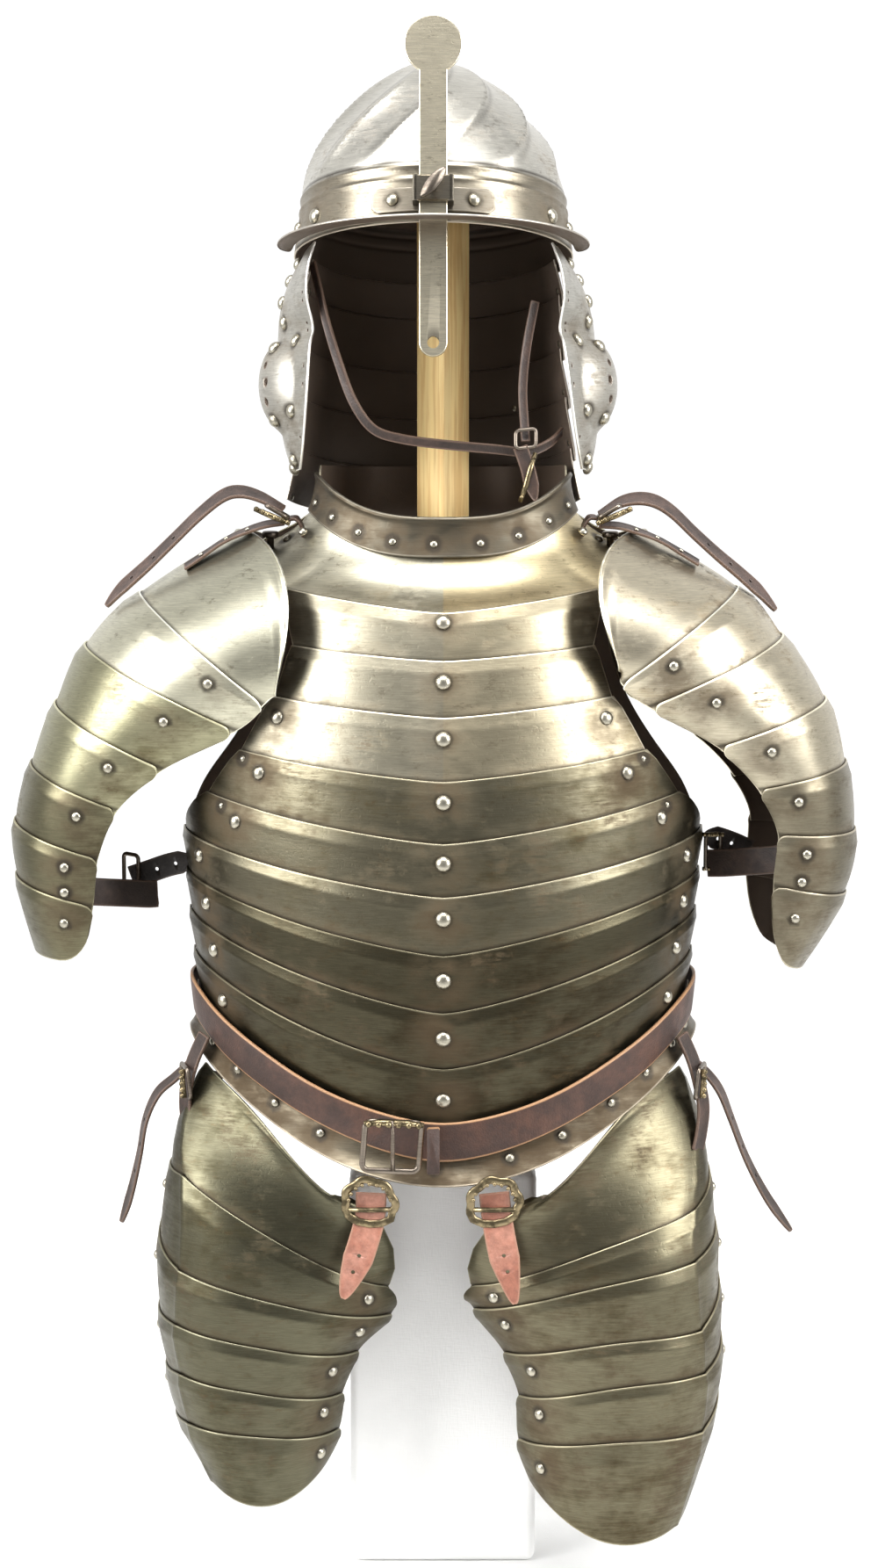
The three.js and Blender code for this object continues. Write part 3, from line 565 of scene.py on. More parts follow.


# Three copies of one steel, darker down the breast: painted shade that makes the lower lames look
# less lit, with a little more rust and patina lower down. The top copy also takes part of the
# painted lit right half.
BREAST_STEEL = [
    steel("breast_steel_high", (0.364, 0.334, 0.252), (0.208, 0.176, 0.11), 1.0, 0.5, 1.0, 0.35),
    steel("breast_steel_middle", (0.151, 0.136, 0.093), (0.075, 0.063, 0.036), 1.1, 0.60),
    steel("breast_steel_low", (0.071, 0.063, 0.04), (0.035, 0.027, 0.015), 1.2, 0.65),
]
for index in range(BREAST_LAMES):
    tall = BREAST_EDGES["middle"][index] - BREAST_EDGES["middle"][index + 1]
    at = lambda s, t, index=index: breast_point(s, index + t)
    lift = lapped(tall)
    lame = forge(f"breast_lame_{index + 1}_plate", at, near_ends(72, 0.002), lame_stops(tall),
                 lift, covered=1.0, bare_bottom=False)
    down, left, right = (BREAST_RIVETS[key][index] for key in ("down", "left", "right"))
    spots = [rivet(at, lift, 0.5, down, 5.6)]
    reach = mix(BREAST_EDGES["end"][index], BREAST_EDGES["end"][index + 1], down)
    for angle in (-left, right):
        if angle:
            spots.append(rivet(at, lift, 0.5 + angle / reach / 2, down, 5.2))
    for angle in ((-52, 52) if index == 3 else (-60, 61) if index == 4 else ()):
        spots.append(rivet(at, lift, 0.5 + angle / reach / 2, 0.15, 2.4))
    finish_plate(lame, BREAST_STEEL[index // 3], f"breast_lame_{index + 1}", spots)


# ---------------------------------------------------------------- collar and neck plate
# The standing collar is turned over a wire along its rim. The neck plate is riveted inside it,
# runs out over the shoulders, and its lower edge goes under the first lame.
COLLAR = {"half": 95, "front": 77, "middle": 784, "rise": 33, "tall": 28, "flare": 6,
          "reach": 88}
SHOULDER = {"z": 789, "end": 89.4}
COLLAR_RIVETS = (-74, -56, -39, -22, -4, 16, 34, 52, 70)


def collar_point(angle, up, out=0.0):
    flare = COLLAR["flare"] * (1 - up / COLLAR["tall"]) ** 2 + out
    return point((COLLAR["half"] + flare) * sine(angle),
                 -(COLLAR["front"] + flare) * cosine(angle),
                 COLLAR["middle"] + COLLAR["rise"] * np.abs(sine(angle)) ** 3 + up)


def on_collar(s, t):
    return collar_point(mix(-COLLAR["reach"], COLLAR["reach"], s), COLLAR["tall"] * (1 - t))


def rolled_rim(s, t):
    """The wired rim: the plate bulges out in a bead at its top."""
    return 1.3 * np.exp(-((t * COLLAR["tall"] - 2.2) / 1.8) ** 2)


def bead_thickness(s, t):
    return STEEL + 1.6 * np.exp(-((t * COLLAR["tall"] - 2.2) / 1.8) ** 2)


collar_steps = np.array([0, 0.02, 0.05, 0.08, 0.12, 0.17, 0.24, 0.4, 0.6, 0.8, 0.97, 1.0])
collar = forge("collar_plate", on_collar, near_ends(80, 0.002), collar_steps, rolled_rim,
               bead_thickness)
spots = [rivet(on_collar, rolled_rim, 0.5 + angle / COLLAR["reach"] / 2, 0.68, 2.9)
         for angle in COLLAR_RIVETS]
finish_plate(collar, steel("collar_steel", (0.102, 0.092, 0.07), (0.041, 0.034, 0.024), 1.0, 0.6),
             "collar", spots)


def neck_point(s, t):
    neck_up = 9
    inset = -COLLAR["flare"] * (1 - neck_up / COLLAR["tall"]) ** 2
    angle = mix(-SHOULDER["end"], SHOULDER["end"], s)
    inside = collar_point(angle, neck_up, inset)
    seam_end, seam_side = BREAST_EDGES["end"][0], BREAST_EDGES["side"][0]
    past = np.maximum(np.abs(angle) - seam_end, 0) / (SHOULDER["end"] - seam_end)
    over = trunk_point(angle, mix(seam_side, SHOULDER["z"], past ** 0.8))
    seam = breast_point(angle / seam_end / 2 + 0.5, np.zeros_like(angle))
    beyond = breast_point(angle / seam_end / 2 + 0.5, np.maximum(t - 1, 0) + 0 * angle)
    outside = (past > 0)[..., None]
    edge = np.where(outside, over, seam)
    bend = mix(inside, edge, 0.14)
    bend[..., 2] = mix(inside[..., 2], edge[..., 2], 0.7)
    share = np.asarray(t + 0 * angle)[..., None]
    curve = (1 - share) ** 2 * inside + 2 * share * (1 - share) * bend + share ** 2 * edge
    return np.where(share > 1, np.where(outside, edge, beyond), curve)


neck_steps = np.concatenate([np.linspace(0, 0.96, 14), [0.99, 1.0]])
neck = forge("neck_plate_plate", neck_point, near_ends(96, 0.002), neck_steps, covered=1.0,
             bare_bottom=False)
spots = [rivet(neck_point, None, s, 0.62, 3.6) for s in (0.045, 0.955)]
# Painted light: the neck plate takes the whole painted lit right half.
neck_steel = steel("neck_steel", (0.552, 0.52, 0.404), (0.288, 0.255, 0.175), 0.8, 0.5,
                   lit_half=1.0)
finish_plate(neck, neck_steel, "neck_plate", spots)


# Turning pins beside the collar: an upright dark pin with a broad head on each shoulder, peened
# through the neck plate.


def tube(rows, count, wraps=False, first=0):
    """Faces of a loft through rows of count points each, closed by two end faces or, when it
    wraps, joined from its last row to its first."""
    faces = [tuple(first + row * count + k for row, k in (
        (r, a), (r, (a + 1) % count), ((r + 1) % rows, (a + 1) % count), ((r + 1) % rows, a)))
        for r in range(rows if wraps else rows - 1) for a in range(count)]
    if not wraps:
        faces.append(tuple(first + k for k in reversed(range(count))))
        faces.append(tuple(range(first + (rows - 1) * count, first + rows * count)))
    return faces


def turned(name, profile, place, lean=(0, 0, 1), steps=24):
    """A round solid from (radius, height) pairs, standing at a place and leaning one way."""
    rise = unit(np.array(lean, float))
    across = unit(np.cross((1, 0, 0), rise))
    along = np.cross(rise, across)
    angles = np.arange(steps) / steps * math.tau
    corners = [np.array(place) + rise * height
               + radius * (np.cos(a) * across + np.sin(a) * along)
               for radius, height in profile for a in angles]
    return solid(name, corners, tube(len(profile), steps))


def plain_masks(piece):
    """Masks for a small steel piece that has no laps, rivets or inner face."""
    for name in ("edge", "under", "rivet", "hidden"):
        if name not in piece.data.attributes:
            value = 0.0 if name == "hidden" else FAR / 1000
            keep(piece.data, name, [value] * len(piece.data.vertices))
    return piece


def finish_small(piece, finish, body="root"):
    """Give a small piece its finish and let it move with its body."""
    plain_masks(piece)
    piece.data.materials.append(finish)
    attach(piece, body)
    return piece


dark_iron = steel("dark_iron", (0.20, 0.17, 0.14), (0.07, 0.055, 0.045), 0.6, 0.6, 0.3)
PIN = [(0.4, -3), (2.6, -3), (2.6, 5), (3.2, 5.6), (5.6, 6), (6.2, 7), (6.2, 9.2), (5.4, 10.2),
       (0.4, 10.4)]
for name, x, z in (("left", -128, 791), ("right", 124, 791)):
    pin = turned(f"turning_pin_{name}", PIN, (x, -16, z), (0.0, -0.1, 1))
    finish_small(pin, dark_iron)


# ---------------------------------------------------------------- waist flange
# The lowest hoop of the breast, flared out over the hips, with the tasset straps riveted
# along its lower edge.
FLANGE_FLARE = 9
FLANGE_RIVETS = (-67, -55, -42, -29, -2, 15, 28, 42, 54, 66, 76)


def on_flange(s, t):
    return breast_point(s, len(BREAST_EDGES["end"]) - 2 + t)


def flange_lift(s, t):
    return STEP + FLANGE_FLARE * (np.maximum(t - 0.45, 0) / 0.55) ** 2


flange_steps = np.array([0, 0.012, 0.1, 0.22, 0.4, 0.5, 0.6, 0.7, 0.8, 0.9, 0.985, 1.0])
flange = forge("waist_flange_plate", on_flange, near_ends(80, 0.002), flange_steps, flange_lift)
spots = [rivet(on_flange, flange_lift, 0.5 + angle / BREAST_EDGES["end"][-1] / 2, 0.7, 3.6)
         for angle in FLANGE_RIVETS]
finish_plate(flange, steel("flange_steel", (0.135, 0.116, 0.084), (0.061, 0.046, 0.03), 1.2, 0.65),
             "waist_flange", spots)


# ---------------------------------------------------------------- backplate
# One large plate for the back with a low standing collar, cut away at the armholes and hollowed
# between the shoulder blades. The belt and shoulder straps hold it to the breast.
BACKPLATE = table("z half depth reach", [
    (850, 92, 80, 89.3), (822, 95, 84, 89.3), (809, 108, 92, 89.3), (800, 125, 101, 89.3),
    (788, 144, 110, 89.0), (765, 150, 120, 66), (725, 160, 130, 54), (680, 172, 135, 55),
    (640, 182, 134, 64), (605, 189, 131, 80), (575, 190, 128, 94), (520, 186, 120, 94),
    (470, 181, 110, 94), (434, 178, 110, 94),
])
BACK_ROWS = len(BACKPLATE["z"]) - 1


def back_point(s, t):
    of = columns_at(BACKPLATE, t * BACK_ROWS)
    angle = 180 + mix(-1, 1, s) * of("reach")
    return point(of("half") * sine(angle), -of("depth") * cosine(angle), of("z"))


def back_lift(s, t):
    """A soft hollow between the shoulder blades and a low keel down the spine."""
    across = (s - 0.5) * 2
    blades = 2.2 * np.exp(-(((np.abs(across) - 0.42) / 0.2) ** 2 + ((t - 0.5) / 0.16) ** 2))
    return blades + 1.2 * np.exp(-(across / 0.03) ** 2) * np.clip((t - 0.3) / 0.2, 0, 1)


back = forge("backplate_plate", back_point, near_ends(110, 0.002), near_ends(90, 0.003),
             back_lift)
spots = [rivet(back_point, back_lift, s, t, 4.2)
         for s, t in ((0.06, 0.83), (0.94, 0.83), (0.08, 0.95), (0.92, 0.95), (0.2, 0.29),
                      (0.8, 0.29), (0.5, 0.95))]
finish_plate(back, steel("back_steel", (0.168, 0.155, 0.109), (0.08, 0.069, 0.044), 0.8, 0.6),
             "backplate", spots)


# ---------------------------------------------------------------- waist belt
# A broad belt of thick red-brown leather pulled round the waist over the flange, its cut edges
# paler, closed in front by a wide brass-barred buckle with a leather keeper block.


def old_leather_group():
    """Worn strap leather: pebbled grain, rubbed pale patches, dark creases and pale cut edges."""
    group, given, result = effect_group("old_leather", {
        "Hide": (0.12, 0.05, 0.028, 1), "Worn": (0.28, 0.13, 0.08, 1),
        "Cut edge": (0.42, 0.26, 0.15, 1), "Wear": 0.5, "Grain size": 700.0,
    }, ("Color", "Roughness", "Height"))
    where = own_place(group)
    clouds = noise(where, 26, 6, 0.65)
    fibres = noise(where, 160, 5, 0.7)
    cells = add_node(group, "ShaderNodeTexVoronoi", {"Vector": where, "Scale": given["Grain size"]})
    color = tint(clouds.band(0.40, 0.66) * given["Wear"], given["Hide"], given["Worn"])
    color = tint(1.0, color, fibres.band(0.3, 0.7, 0.72, 1.12), "MULTIPLY")
    cut = mask(group, "edge").band(0.0014, 0.0004)
    for key, value in (("Color", tint(cut * 0.85, color, given["Cut edge"])),
                       ("Height", Shade(group, cells.outputs["Distance"]) + fibres * 0.8),
                       ("Roughness", clouds.band(0.3, 0.7, 0.62, 0.42))):
        feed(group, result.inputs[key], value)
    return group


OLD_LEATHER = old_leather_group()


def leather(name, hide, worn, cut_edge, wear):
    """A strap leather with its own colours for the shared effect."""
    return wearing(name, OLD_LEATHER, 0.35, 0.0005, Hide=(*hide, 1), Worn=(*worn, 1),
                   Cut_edge=(*cut_edge, 1), Wear=wear)


def old_brass(name, bright, dark):
    """Cast brass, yellow where it is rubbed and brown in its hollows."""
    finish = new_finish(name)
    where = own_place(finish.node_tree)
    tarnish = noise(where, 130, 5, 0.6).band(0.42, 0.62)
    return dress(finish, 0.3, 0.0004, noise(where, 500, 3), {
        "Base Color": tint(tarnish, (*bright, 1), (*dark, 1)),
        "Roughness": tarnish.band(0, 1, 0.28, 0.55), "Metallic": 1.0})


BELT = {"front": 373, "side": 456, "back": 470, "arc": 1.8, "width": 28, "lift": 7,
        "thick": 2.4}
WAIST_DEPTH = 110


def belt_point(s, t):
    angle = mix(-180, 180, s)
    behind = np.abs(angle) > 90
    swing = np.abs(sine(angle)) ** BELT["arc"]
    z = mix(np.where(behind, BELT["back"], BELT["front"]), BELT["side"], swing)
    place = trunk_point(angle, z + BELT["width"] * (0.5 - t))
    place[..., 1] = np.where(behind, -WAIST_DEPTH * cosine(angle), place[..., 1])
    return place


def belt_lift(s, t):
    """The belt lies a little wavy, and its cut edges are skived thinner."""
    skived = 0.5 * np.clip((np.abs(t - 0.5) - 0.40) / 0.1, 0, 1)
    return BELT["lift"] + 0.5 * np.sin(s * 60) * np.sin(s * 23) - skived


belt_leather = leather("belt_leather", (0.036, 0.016, 0.010), (0.088, 0.037, 0.022),
                       (0.40, 0.22, 0.11), 0.7)
belt = forge("waist_belt", belt_point, np.linspace(0, 1, 221),
             np.array([0, 0.03, 0.09, 0.3, 0.5, 0.7, 0.91, 0.97, 1.0]), belt_lift,
             BELT["thick"], closed=True)
belt.data.materials.append(belt_leather)
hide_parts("belt")
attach(belt, "root")


def bar(name, route, radius, around=10, flat=1.0, up=(0, 0, 1), loop=False):
    """A rod bent along a route of millimetre points, round or flattened by flat across up."""
    route = np.array(route, float)
    count = len(route)
    ahead = np.roll(route, -1, 0) - np.roll(route, 1, 0)
    if not loop:
        ahead[0], ahead[-1] = route[1] - route[0], route[-1] - route[-2]
    ahead = unit(ahead)
    out = unit(np.cross(ahead, np.array(up, float)))
    over = np.cross(out, ahead)
    radii = np.full(count, radius, float) if np.isscalar(radius) else np.array(radius, float)
    angles = np.arange(around) / around * math.tau
    corners = np.concatenate([route[k] + radii[k] * (np.cos(angles)[:, None] * out[k]
                              + flat * np.sin(angles)[:, None] * over[k])
                              for k in range(count)])
    return solid(name, corners, tube(count, around, loop))


def rounded_loop(width, height, corner, steps=6):
    """Points round a rectangle with rounded corners, in its own plane."""
    loop = []
    for quarter in range(4):
        cx = (width / 2 - corner) * (1 if quarter in (0, 3) else -1)
        cy = (height / 2 - corner) * (1 if quarter in (0, 1) else -1)
        for k in range(steps + 1):
            a = math.radians(90 * quarter + 90 * k / steps)
            loop.append((cx + corner * math.cos(a), cy + corner * math.sin(a)))
    return np.array(loop)


def placed(flat, middle, across, up):
    """Points of a flat outline put on a plane through middle."""
    across, up = unit(np.array(across, float)), unit(np.array(up, float))
    flat = np.asarray(flat, float)
    return np.array(middle) + flat[:, :1] * across + flat[:, 1:] * up


brass = old_brass("old_brass", (0.27, 0.215, 0.125), (0.08, 0.064, 0.038))
iron_buckle = steel("buckle_iron", (0.26, 0.22, 0.18), (0.09, 0.07, 0.055), 0.5, 0.6, 0.4)
BEADS = []  # cast beads on the buckle bars: place, facing, radius


def buckle(name, width, height, corner, plane, thick, bar_up=(0, 1, 0), flat=1.0):
    """An iron buckle frame: a rounded oblong in a plane of middle, across and up."""
    loop = placed(rounded_loop(width, height, corner), *plane)
    finish_small(bar(name, loop, thick, flat=flat, up=bar_up, loop=True), iron_buckle)


def bead_row(low, high, count, start, step, off, facing, radius):
    """Cast beads on the face of a bar from low to high, from a start share on by steps."""
    for k in range(count):
        BEADS.append((mix(low, high, start + step * k) + off, np.array(facing, float), radius))


# The belt buckle: an iron frame, a beaded brass bar over it, a prong and a keeper block.
BUCKLE = ((-36, -166.5, 374), (1, 0.10, -0.06), (0.08, -0.08, 1))  # middle, across, up
buckle("belt_buckle_frame", 40, 36, 5, BUCKLE, 2.1, flat=0.8)
top = placed([(-21, 17), (-10, 18), (0, 18), (10, 18), (21, 17)], *BUCKLE) + (0, -2.6, 0)
finish_small(bar("belt_buckle_bar", top, [2.0, 2.6, 2.6, 2.6, 2.0], flat=0.9), brass)
bead_row(top[0], top[-1], 6, 0.08, 0.168, (0, -1.6, 0), (0, -1.0, 0.15), 2.5)
prong = placed([(2, -17), (1, -6), (0, 8), (-1, 20)], *BUCKLE) + [
    (0, -1.5, 0), (0, -4.5, 0), (0, -5.2, 0), (0, -4.2, 0)]
finish_small(bar("belt_buckle_prong", prong, [1.6, 1.6, 1.4, 1.0]), iron_buckle)
# The keeper is a folded block of the belt's leather with softened corners.
KEEPER = {"middle": (-7, -166.5, 371), "across": (1, 0, 0.05), "up": (0, 0, 1), "width": 9,
          "height": 33, "deep": 6, "soft": 0.8}
keeper_way = unit(np.cross(np.array(KEEPER["across"], float), np.array(KEEPER["up"], float)))
outline = placed(rounded_loop(KEEPER["width"], KEEPER["height"], KEEPER["soft"] * 2),
                 KEEPER["middle"], KEEPER["across"], KEEPER["up"])
half_deep, centre = KEEPER["deep"] / 2, np.array(KEEPER["middle"])
rings = [centre + (outline - centre) * shrink + keeper_way * depth for shrink, depth in (
    (0.97, -half_deep), (1, -half_deep + KEEPER["soft"]), (1, half_deep - KEEPER["soft"]),
    (0.97, half_deep))]
block = solid("belt_keeper", np.concatenate(rings), tube(4, len(outline)))
keep(block.data, "edge", np.repeat([0.002, 0.0006, 0.0006, 0.002], len(outline)))
finish_small(block, belt_leather)


# ---------------------------------------------------------------- pauldrons
# Seven lames round each upper arm, hung on leathers inside and riveted at their front ends.
# The first has a rolled edge beside the neck; every lame below has rounded front corners.
# Sections from the neck down the arm: outer point, front inner point, depth to each side of
# the arm, bow towards the neck, and how far round the front end runs.
SECTION = "outX outZ inX inZ deep bow round"
PAULDRONS = {
    "left": {"side": -1, "behind": 0.82, "rows": table(SECTION, [
        (151, 801, 121, 688, 120, -30, 110), (226, 756, 127, 680, 120, -3, 110),
        (267, 718, 147, 661, 112, 0, 110), (290, 675, 201, 632, 98, 0, 110),
        (309, 630, 236, 601, 86, 0, 110), (322, 587, 252, 564, 77, 0, 110),
        (322, 546, 257, 528, 71, 0, 110), (311, 486, 266, 486, 60, -4, 104),
    ])},
    "right": {"side": 1, "behind": 1.04, "rows": table(SECTION, [
        (148, 801, 130, 700, 120, -32, 110), (220, 760, 126, 695, 120, -3, 110),
        (253, 725, 146, 678, 112, 0, 110), (286, 678, 197, 648, 98, 0, 110),
        (302, 631, 228, 616, 86, 0, 110), (310, 580, 244, 582, 77, 0, 110),
        (304, 532, 242, 544, 71, 0, 110), (275, 474, 244, 488, 60, -4, 104),
    ])},
}


def pauldron_point(rows, place, turned_round):
    of = columns_at(rows, place)
    turn = of("round") * turned_round
    shrink = (1 - cosine(turn)) / (1 - cosine(of("round")))
    bow = of("bow") * np.sin(math.pi * np.abs(turned_round))
    return point(mix(of("outX"), of("inX"), shrink) + bow, of("deep") * sine(turn),
                 mix(of("outZ"), of("inZ"), shrink))


def rounded(span, radius, height):
    """How far down a rounded corner starts, for s across a lame of that span."""
    def cut(s):
        inside = np.clip(1 - np.minimum(s, 1 - s) * span / radius, 0, 1)
        return radius / height * (1 - np.sqrt(1 - inside ** 2))
    return cut


def corner_steps(count, share):
    """Even steps across, with closer ones round the two corners."""
    corner = share * (1 - np.cos(np.radians([0, 15, 30, 45, 60, 75, 90])))
    inner = np.linspace(share * 1.25, 1 - share * 1.25, count)
    return np.concatenate([corner, inner, 1 - corner[::-1]])


# Painted light and shade: the high copies are painted as lit and the lower ones as shaded.
PAULDRON_STEEL = {  # brighter at the shoulder, darker down the arm
    name: [steel(f"pauldron_steel_{name}_{height}", *values)
           for height, values in zip(("high", "mid", "low"), tones)]
    for name, tones in (
        ("left", (((0.56, 0.54, 0.42), (0.34, 0.31, 0.21), 0.6, 0.42),
                  ((0.306, 0.293, 0.187), (0.17, 0.153, 0.085), 0.7, 0.5),
                  ((0.16, 0.148, 0.092), (0.08, 0.068, 0.04), 0.9, 0.6))),
        ("right", (((0.60, 0.54, 0.41), (0.36, 0.28, 0.17), 1.3, 0.5),
                   ((0.50, 0.45, 0.34), (0.27, 0.21, 0.13), 1.0, 0.5),
                   ((0.224, 0.2, 0.144), (0.112, 0.088, 0.056), 0.9, 0.6))))
}
for name, arm in PAULDRONS.items():
    rows, side, behind = arm["rows"], arm["side"], arm["behind"]
    lames = len(rows["outX"]) - 1
    for index in range(lames):
        last = index == lames - 1
        tall, span = (62, 190) if last else (44, 260)
        at = lambda s, t: pauldron_point(rows, index + t, mix(-1, behind, s))
        lift = lapped(tall)
        thick = STEEL
        start = rounded(span, 9, tall) if index else None
        stop = None
        if last:
            stop = lambda s: 1 - rounded(span, 34, tall)(s)
        down = lame_stops(tall, last)
        if not index:
            plain = lift
            roll = lambda t: np.exp(-((t * tall - 2.4) / 1.7) ** 2)
            lift = lambda s, t: (plain(s, t) + BORDER["lean"] * (t * tall < BORDER["deep"])
                                 * (1 - t * tall / BORDER["deep"]) + 1.2 * roll(t))
            thick = lambda s, t: STEEL + 1.4 * roll(t)
            down = np.unique(np.concatenate([down, np.array([0.8, 1.6, 2.4, 3.2, 4.2]) / tall]))
        across = corner_steps(52, (34 if last else 9) / span)
        lame = forge(f"pauldron_{name}_lame_{index + 1}_plate", at, across, down, lift, thick,
                     side, start=start, stop=stop, covered=None if last else 1.0,
                     bare_bottom=last)
        spots = []
        if index:
            for along in (0.78, -0.6):
                s = (1 - along) / (1 + behind)
                spots.append(rivet(at, lift, s, 0.34, 3.7, side=side))
            if index == 5:
                spots.append(rivet(at, lift, 0.22 / (1 + behind), 0.86, 3.7, side=side))
        finish_plate(lame, PAULDRON_STEEL[name][min(index // 2, 2)],
                     f"pauldron_{name}_lame_{index + 1}", spots)


# ---------------------------------------------------------------- tassets
# Six lames over the front of each thigh, sliding on rivets by their inner ends and on a leather
# by their outer ends, with a low ridge down the outer front and a raised border at each top.
# Edge heights at the inner end, ridge and outer side, and the sag between; then the plan of
# the thigh: middle, half width, centre and depth front to back, turn, and where it starts.
EDGE = "inner ridge outer sag x half y deep turn from"
TASSETS = {
    "left": {"side": -1, "rows": table(EDGE, [
        (328, 408, 396, -14, 121, 72, -81, 28, 45, -90),
        (255, 337, 337, 0, 114, 87, -62, 76, 8, -65),
        (233, 270, 288, 0, 120, 90, -61, 84, 0, -65),
        (205, 230, 230, -2, 133, 78, -61, 84, 0, -65),
        (173, 193, 186, -3, 137, 69, -61, 84, 0, -65),
        (146, 156, 149, -3, 135, 64, -61, 84, 0, -65),
        (122, 112, 126, 15, 130, 50, -66, 78, 0, -65),
    ])},
    "right": {"side": 1, "rows": table(EDGE, [
        (328, 405, 394, -19, 118, 76, -81, 28, 45, -90),
        (256, 311, 334, -4, 102, 95, -62, 76, 8, -65),
        (237, 276, 292, -6, 108, 94, -61, 84, 0, -65),
        (204, 225, 250, -8, 121, 84, -61, 84, 0, -65),
        (171, 193, 207, -8, 128, 79, -61, 84, 0, -65),
        (138, 149, 168, -6, 127, 78, -61, 84, 0, -65),
        (105, 78, 96, 17, 122, 63, -66, 78, 0, -65),
    ])},
}
THIGH = {"squareness": 0.85, "ridge": 48, "to": 104, "hip": 15}


def squared(part):
    return np.sign(part) * np.abs(part) ** THIGH["squareness"]


def tasset_point(rows, place, angle):
    of = columns_at(rows, place)
    start, ridge = squared(sine(of("from"))), squared(sine(THIGH["ridge"]))
    across = squared(sine(angle))
    in_front = (across - start) / (ridge - start)
    before = mix(of("inner"), of("ridge"), in_front) - of("sag") * np.sin(math.pi * in_front)
    after = mix(of("ridge"), of("outer"), (angle - THIGH["ridge"]) / (90 - THIGH["ridge"]))
    hip = THIGH["hip"] * np.sin(math.pi * np.minimum(place, 1)) * np.maximum(1 - in_front, 0)
    ahead = -of("deep") * squared(cosine(angle))
    c, w, half = cosine(of("turn")), sine(of("turn")), of("half")
    return point(of("x") + half * across * c - ahead * w - hip,
                 of("y") + half * across * w + ahead * c,
                 np.where(angle < THIGH["ridge"], before, after))


tasset_steel = {
    "left": steel("tasset_steel_left", (0.11, 0.103, 0.068), (0.057, 0.05, 0.028), 0.8, 0.6),
    "right": steel("tasset_steel_right", (0.147, 0.132, 0.086), (0.074, 0.059, 0.033), 1.1, 0.62),
}
for name, thigh in TASSETS.items():
    rows, side = thigh["rows"], thigh["side"]
    lames = len(rows["inner"]) - 1
    for index in range(lames):
        last = index == lames - 1
        tall, span = (74, 210) if index == 0 else (40, 230)

        def at(s, t):
            angle = mix(between(rows, "from", index + t), THIGH["to"], s)
            return tasset_point(rows, index + t, angle)

        plain = lapped(tall)

        def lift(s, t):
            angle = mix(between(rows, "from", index + t), THIGH["to"], s)
            crease = 1.1 * np.exp(-np.abs(angle - THIGH["ridge"]) / 2.2)
            return plain(s, t) + crease * (t < 1)

        start = rounded(span, 7, tall) if index else None
        across = np.unique(np.concatenate([corner_steps(46, 7 / span),
                                           np.linspace(0.62, 0.72, 9)]))
        lame = forge(f"tasset_{name}_lame_{index + 1}_plate", at, across,
                     lame_stops(tall, last), lift, STEEL, side, start=start,
                     covered=None if last else 1.0, bare_bottom=last)
        spots = []
        if index:
            spots.append(rivet(at, lift, 0.13, 0.36, 4.0, side=side))
            spots.append(rivet(at, lift, 0.9, 0.36, 3.6, side=side))
        finish_plate(lame, tasset_steel[name], f"tasset_{name}_lame_{index + 1}", spots)


# ---------------------------------------------------------------- helmet skull
# Raised from one plate of steel, with swirling flutes that die away at the crown and above the
# plain brow band. Everything on the helmet is placed from the middle of its rim and tipped back.
HELMET = {"x": -7, "z": 1001, "tilt": 7, "half": 103, "front": 121}
SKULL = {"band": 42, "dome": 103, "taper": 6, "flutes": 12, "fluteDeep": 2, "twist": 55}


def worn(at, side=1):
    """A surface on the helmet put where the helmet sits; side -1 is for a piece that is made
    on the right and mirrored to the left."""
    def tipped(s, t):
        local = at(s, t)
        c, w = cosine(HELMET["tilt"]), sine(HELMET["tilt"])
        return point(local[..., 0] + side * HELMET["x"], c * local[..., 1] + w * local[..., 2],
                     HELMET["z"] - w * local[..., 1] + c * local[..., 2])
    return tipped


def tip(places):
    """Millimetre points on the helmet put where the helmet sits."""
    places = np.asarray(places, float)
    return worn(lambda s, t: places)(0, 0)


def skull_point(s, t):
    dome_share = 0.75
    angle = mix(-180, 180, s)
    in_dome = t < dome_share
    height = np.where(in_dome, cosine(90 * t / dome_share), 0)
    fall = np.where(in_dome, 0, (t - dome_share) / (1 - dome_share))
    size = np.where(in_dome, (1 - np.clip(height, 0, 1) ** 1.65) ** 0.65, 1)
    turn = SKULL["flutes"] * np.radians(angle - SKULL["twist"] * height) / 2
    scallop = 1.1 - 2.6 * np.abs(np.sin(turn)) ** 0.75
    flute = np.where(in_dome, SKULL["fluteDeep"] * scallop * 4 * height * (1 - height), 0)
    taper = SKULL["taper"] * (1 - fall)
    return point(((HELMET["half"] - taper) * size + flute) * sine(angle),
                 -((HELMET["front"] - taper) * size + flute) * cosine(angle),
                 np.where(in_dome, SKULL["band"] + SKULL["dome"] * height,
                          SKULL["band"] * (1 - fall)))


def brow_lift(s, t):
    """Two fine ridges turned round the top of the brow band, and a rolled rim."""
    z = SKULL["band"] * (1 - (t - 0.75) / 0.25)
    upper = 1.5 * np.exp(-np.abs(z - 40) / 1.6)
    lower = 0.8 * np.exp(-((z - 31) / 1.5) ** 2)
    return np.where(t > 0.6, upper + lower, 0)


skull_steel = steel("skull_steel", (0.522, 0.507, 0.462), (0.254, 0.223, 0.172), 0.9, 0.42)
skull_down = np.concatenate([np.linspace(0.004, 0.72, 62), np.linspace(0.728, 0.86, 26),
                             [0.9, 0.94, 0.97, 0.99, 0.997, 1.0]])
skull = forge("skull_plate", worn(skull_point), np.linspace(0, 1, 217), skull_down, brow_lift,
              closed=True, capped=True)
spots = [rivet(worn(skull_point), brow_lift, 0.5 + angle / 360, 0.9, radius)
         for angle, radius in ((-78, 4.8), (-57, 5.6), (57, 5.6), (78, 4.8), (-110, 4.4),
                               (110, 4.4), (180, 4.4))]
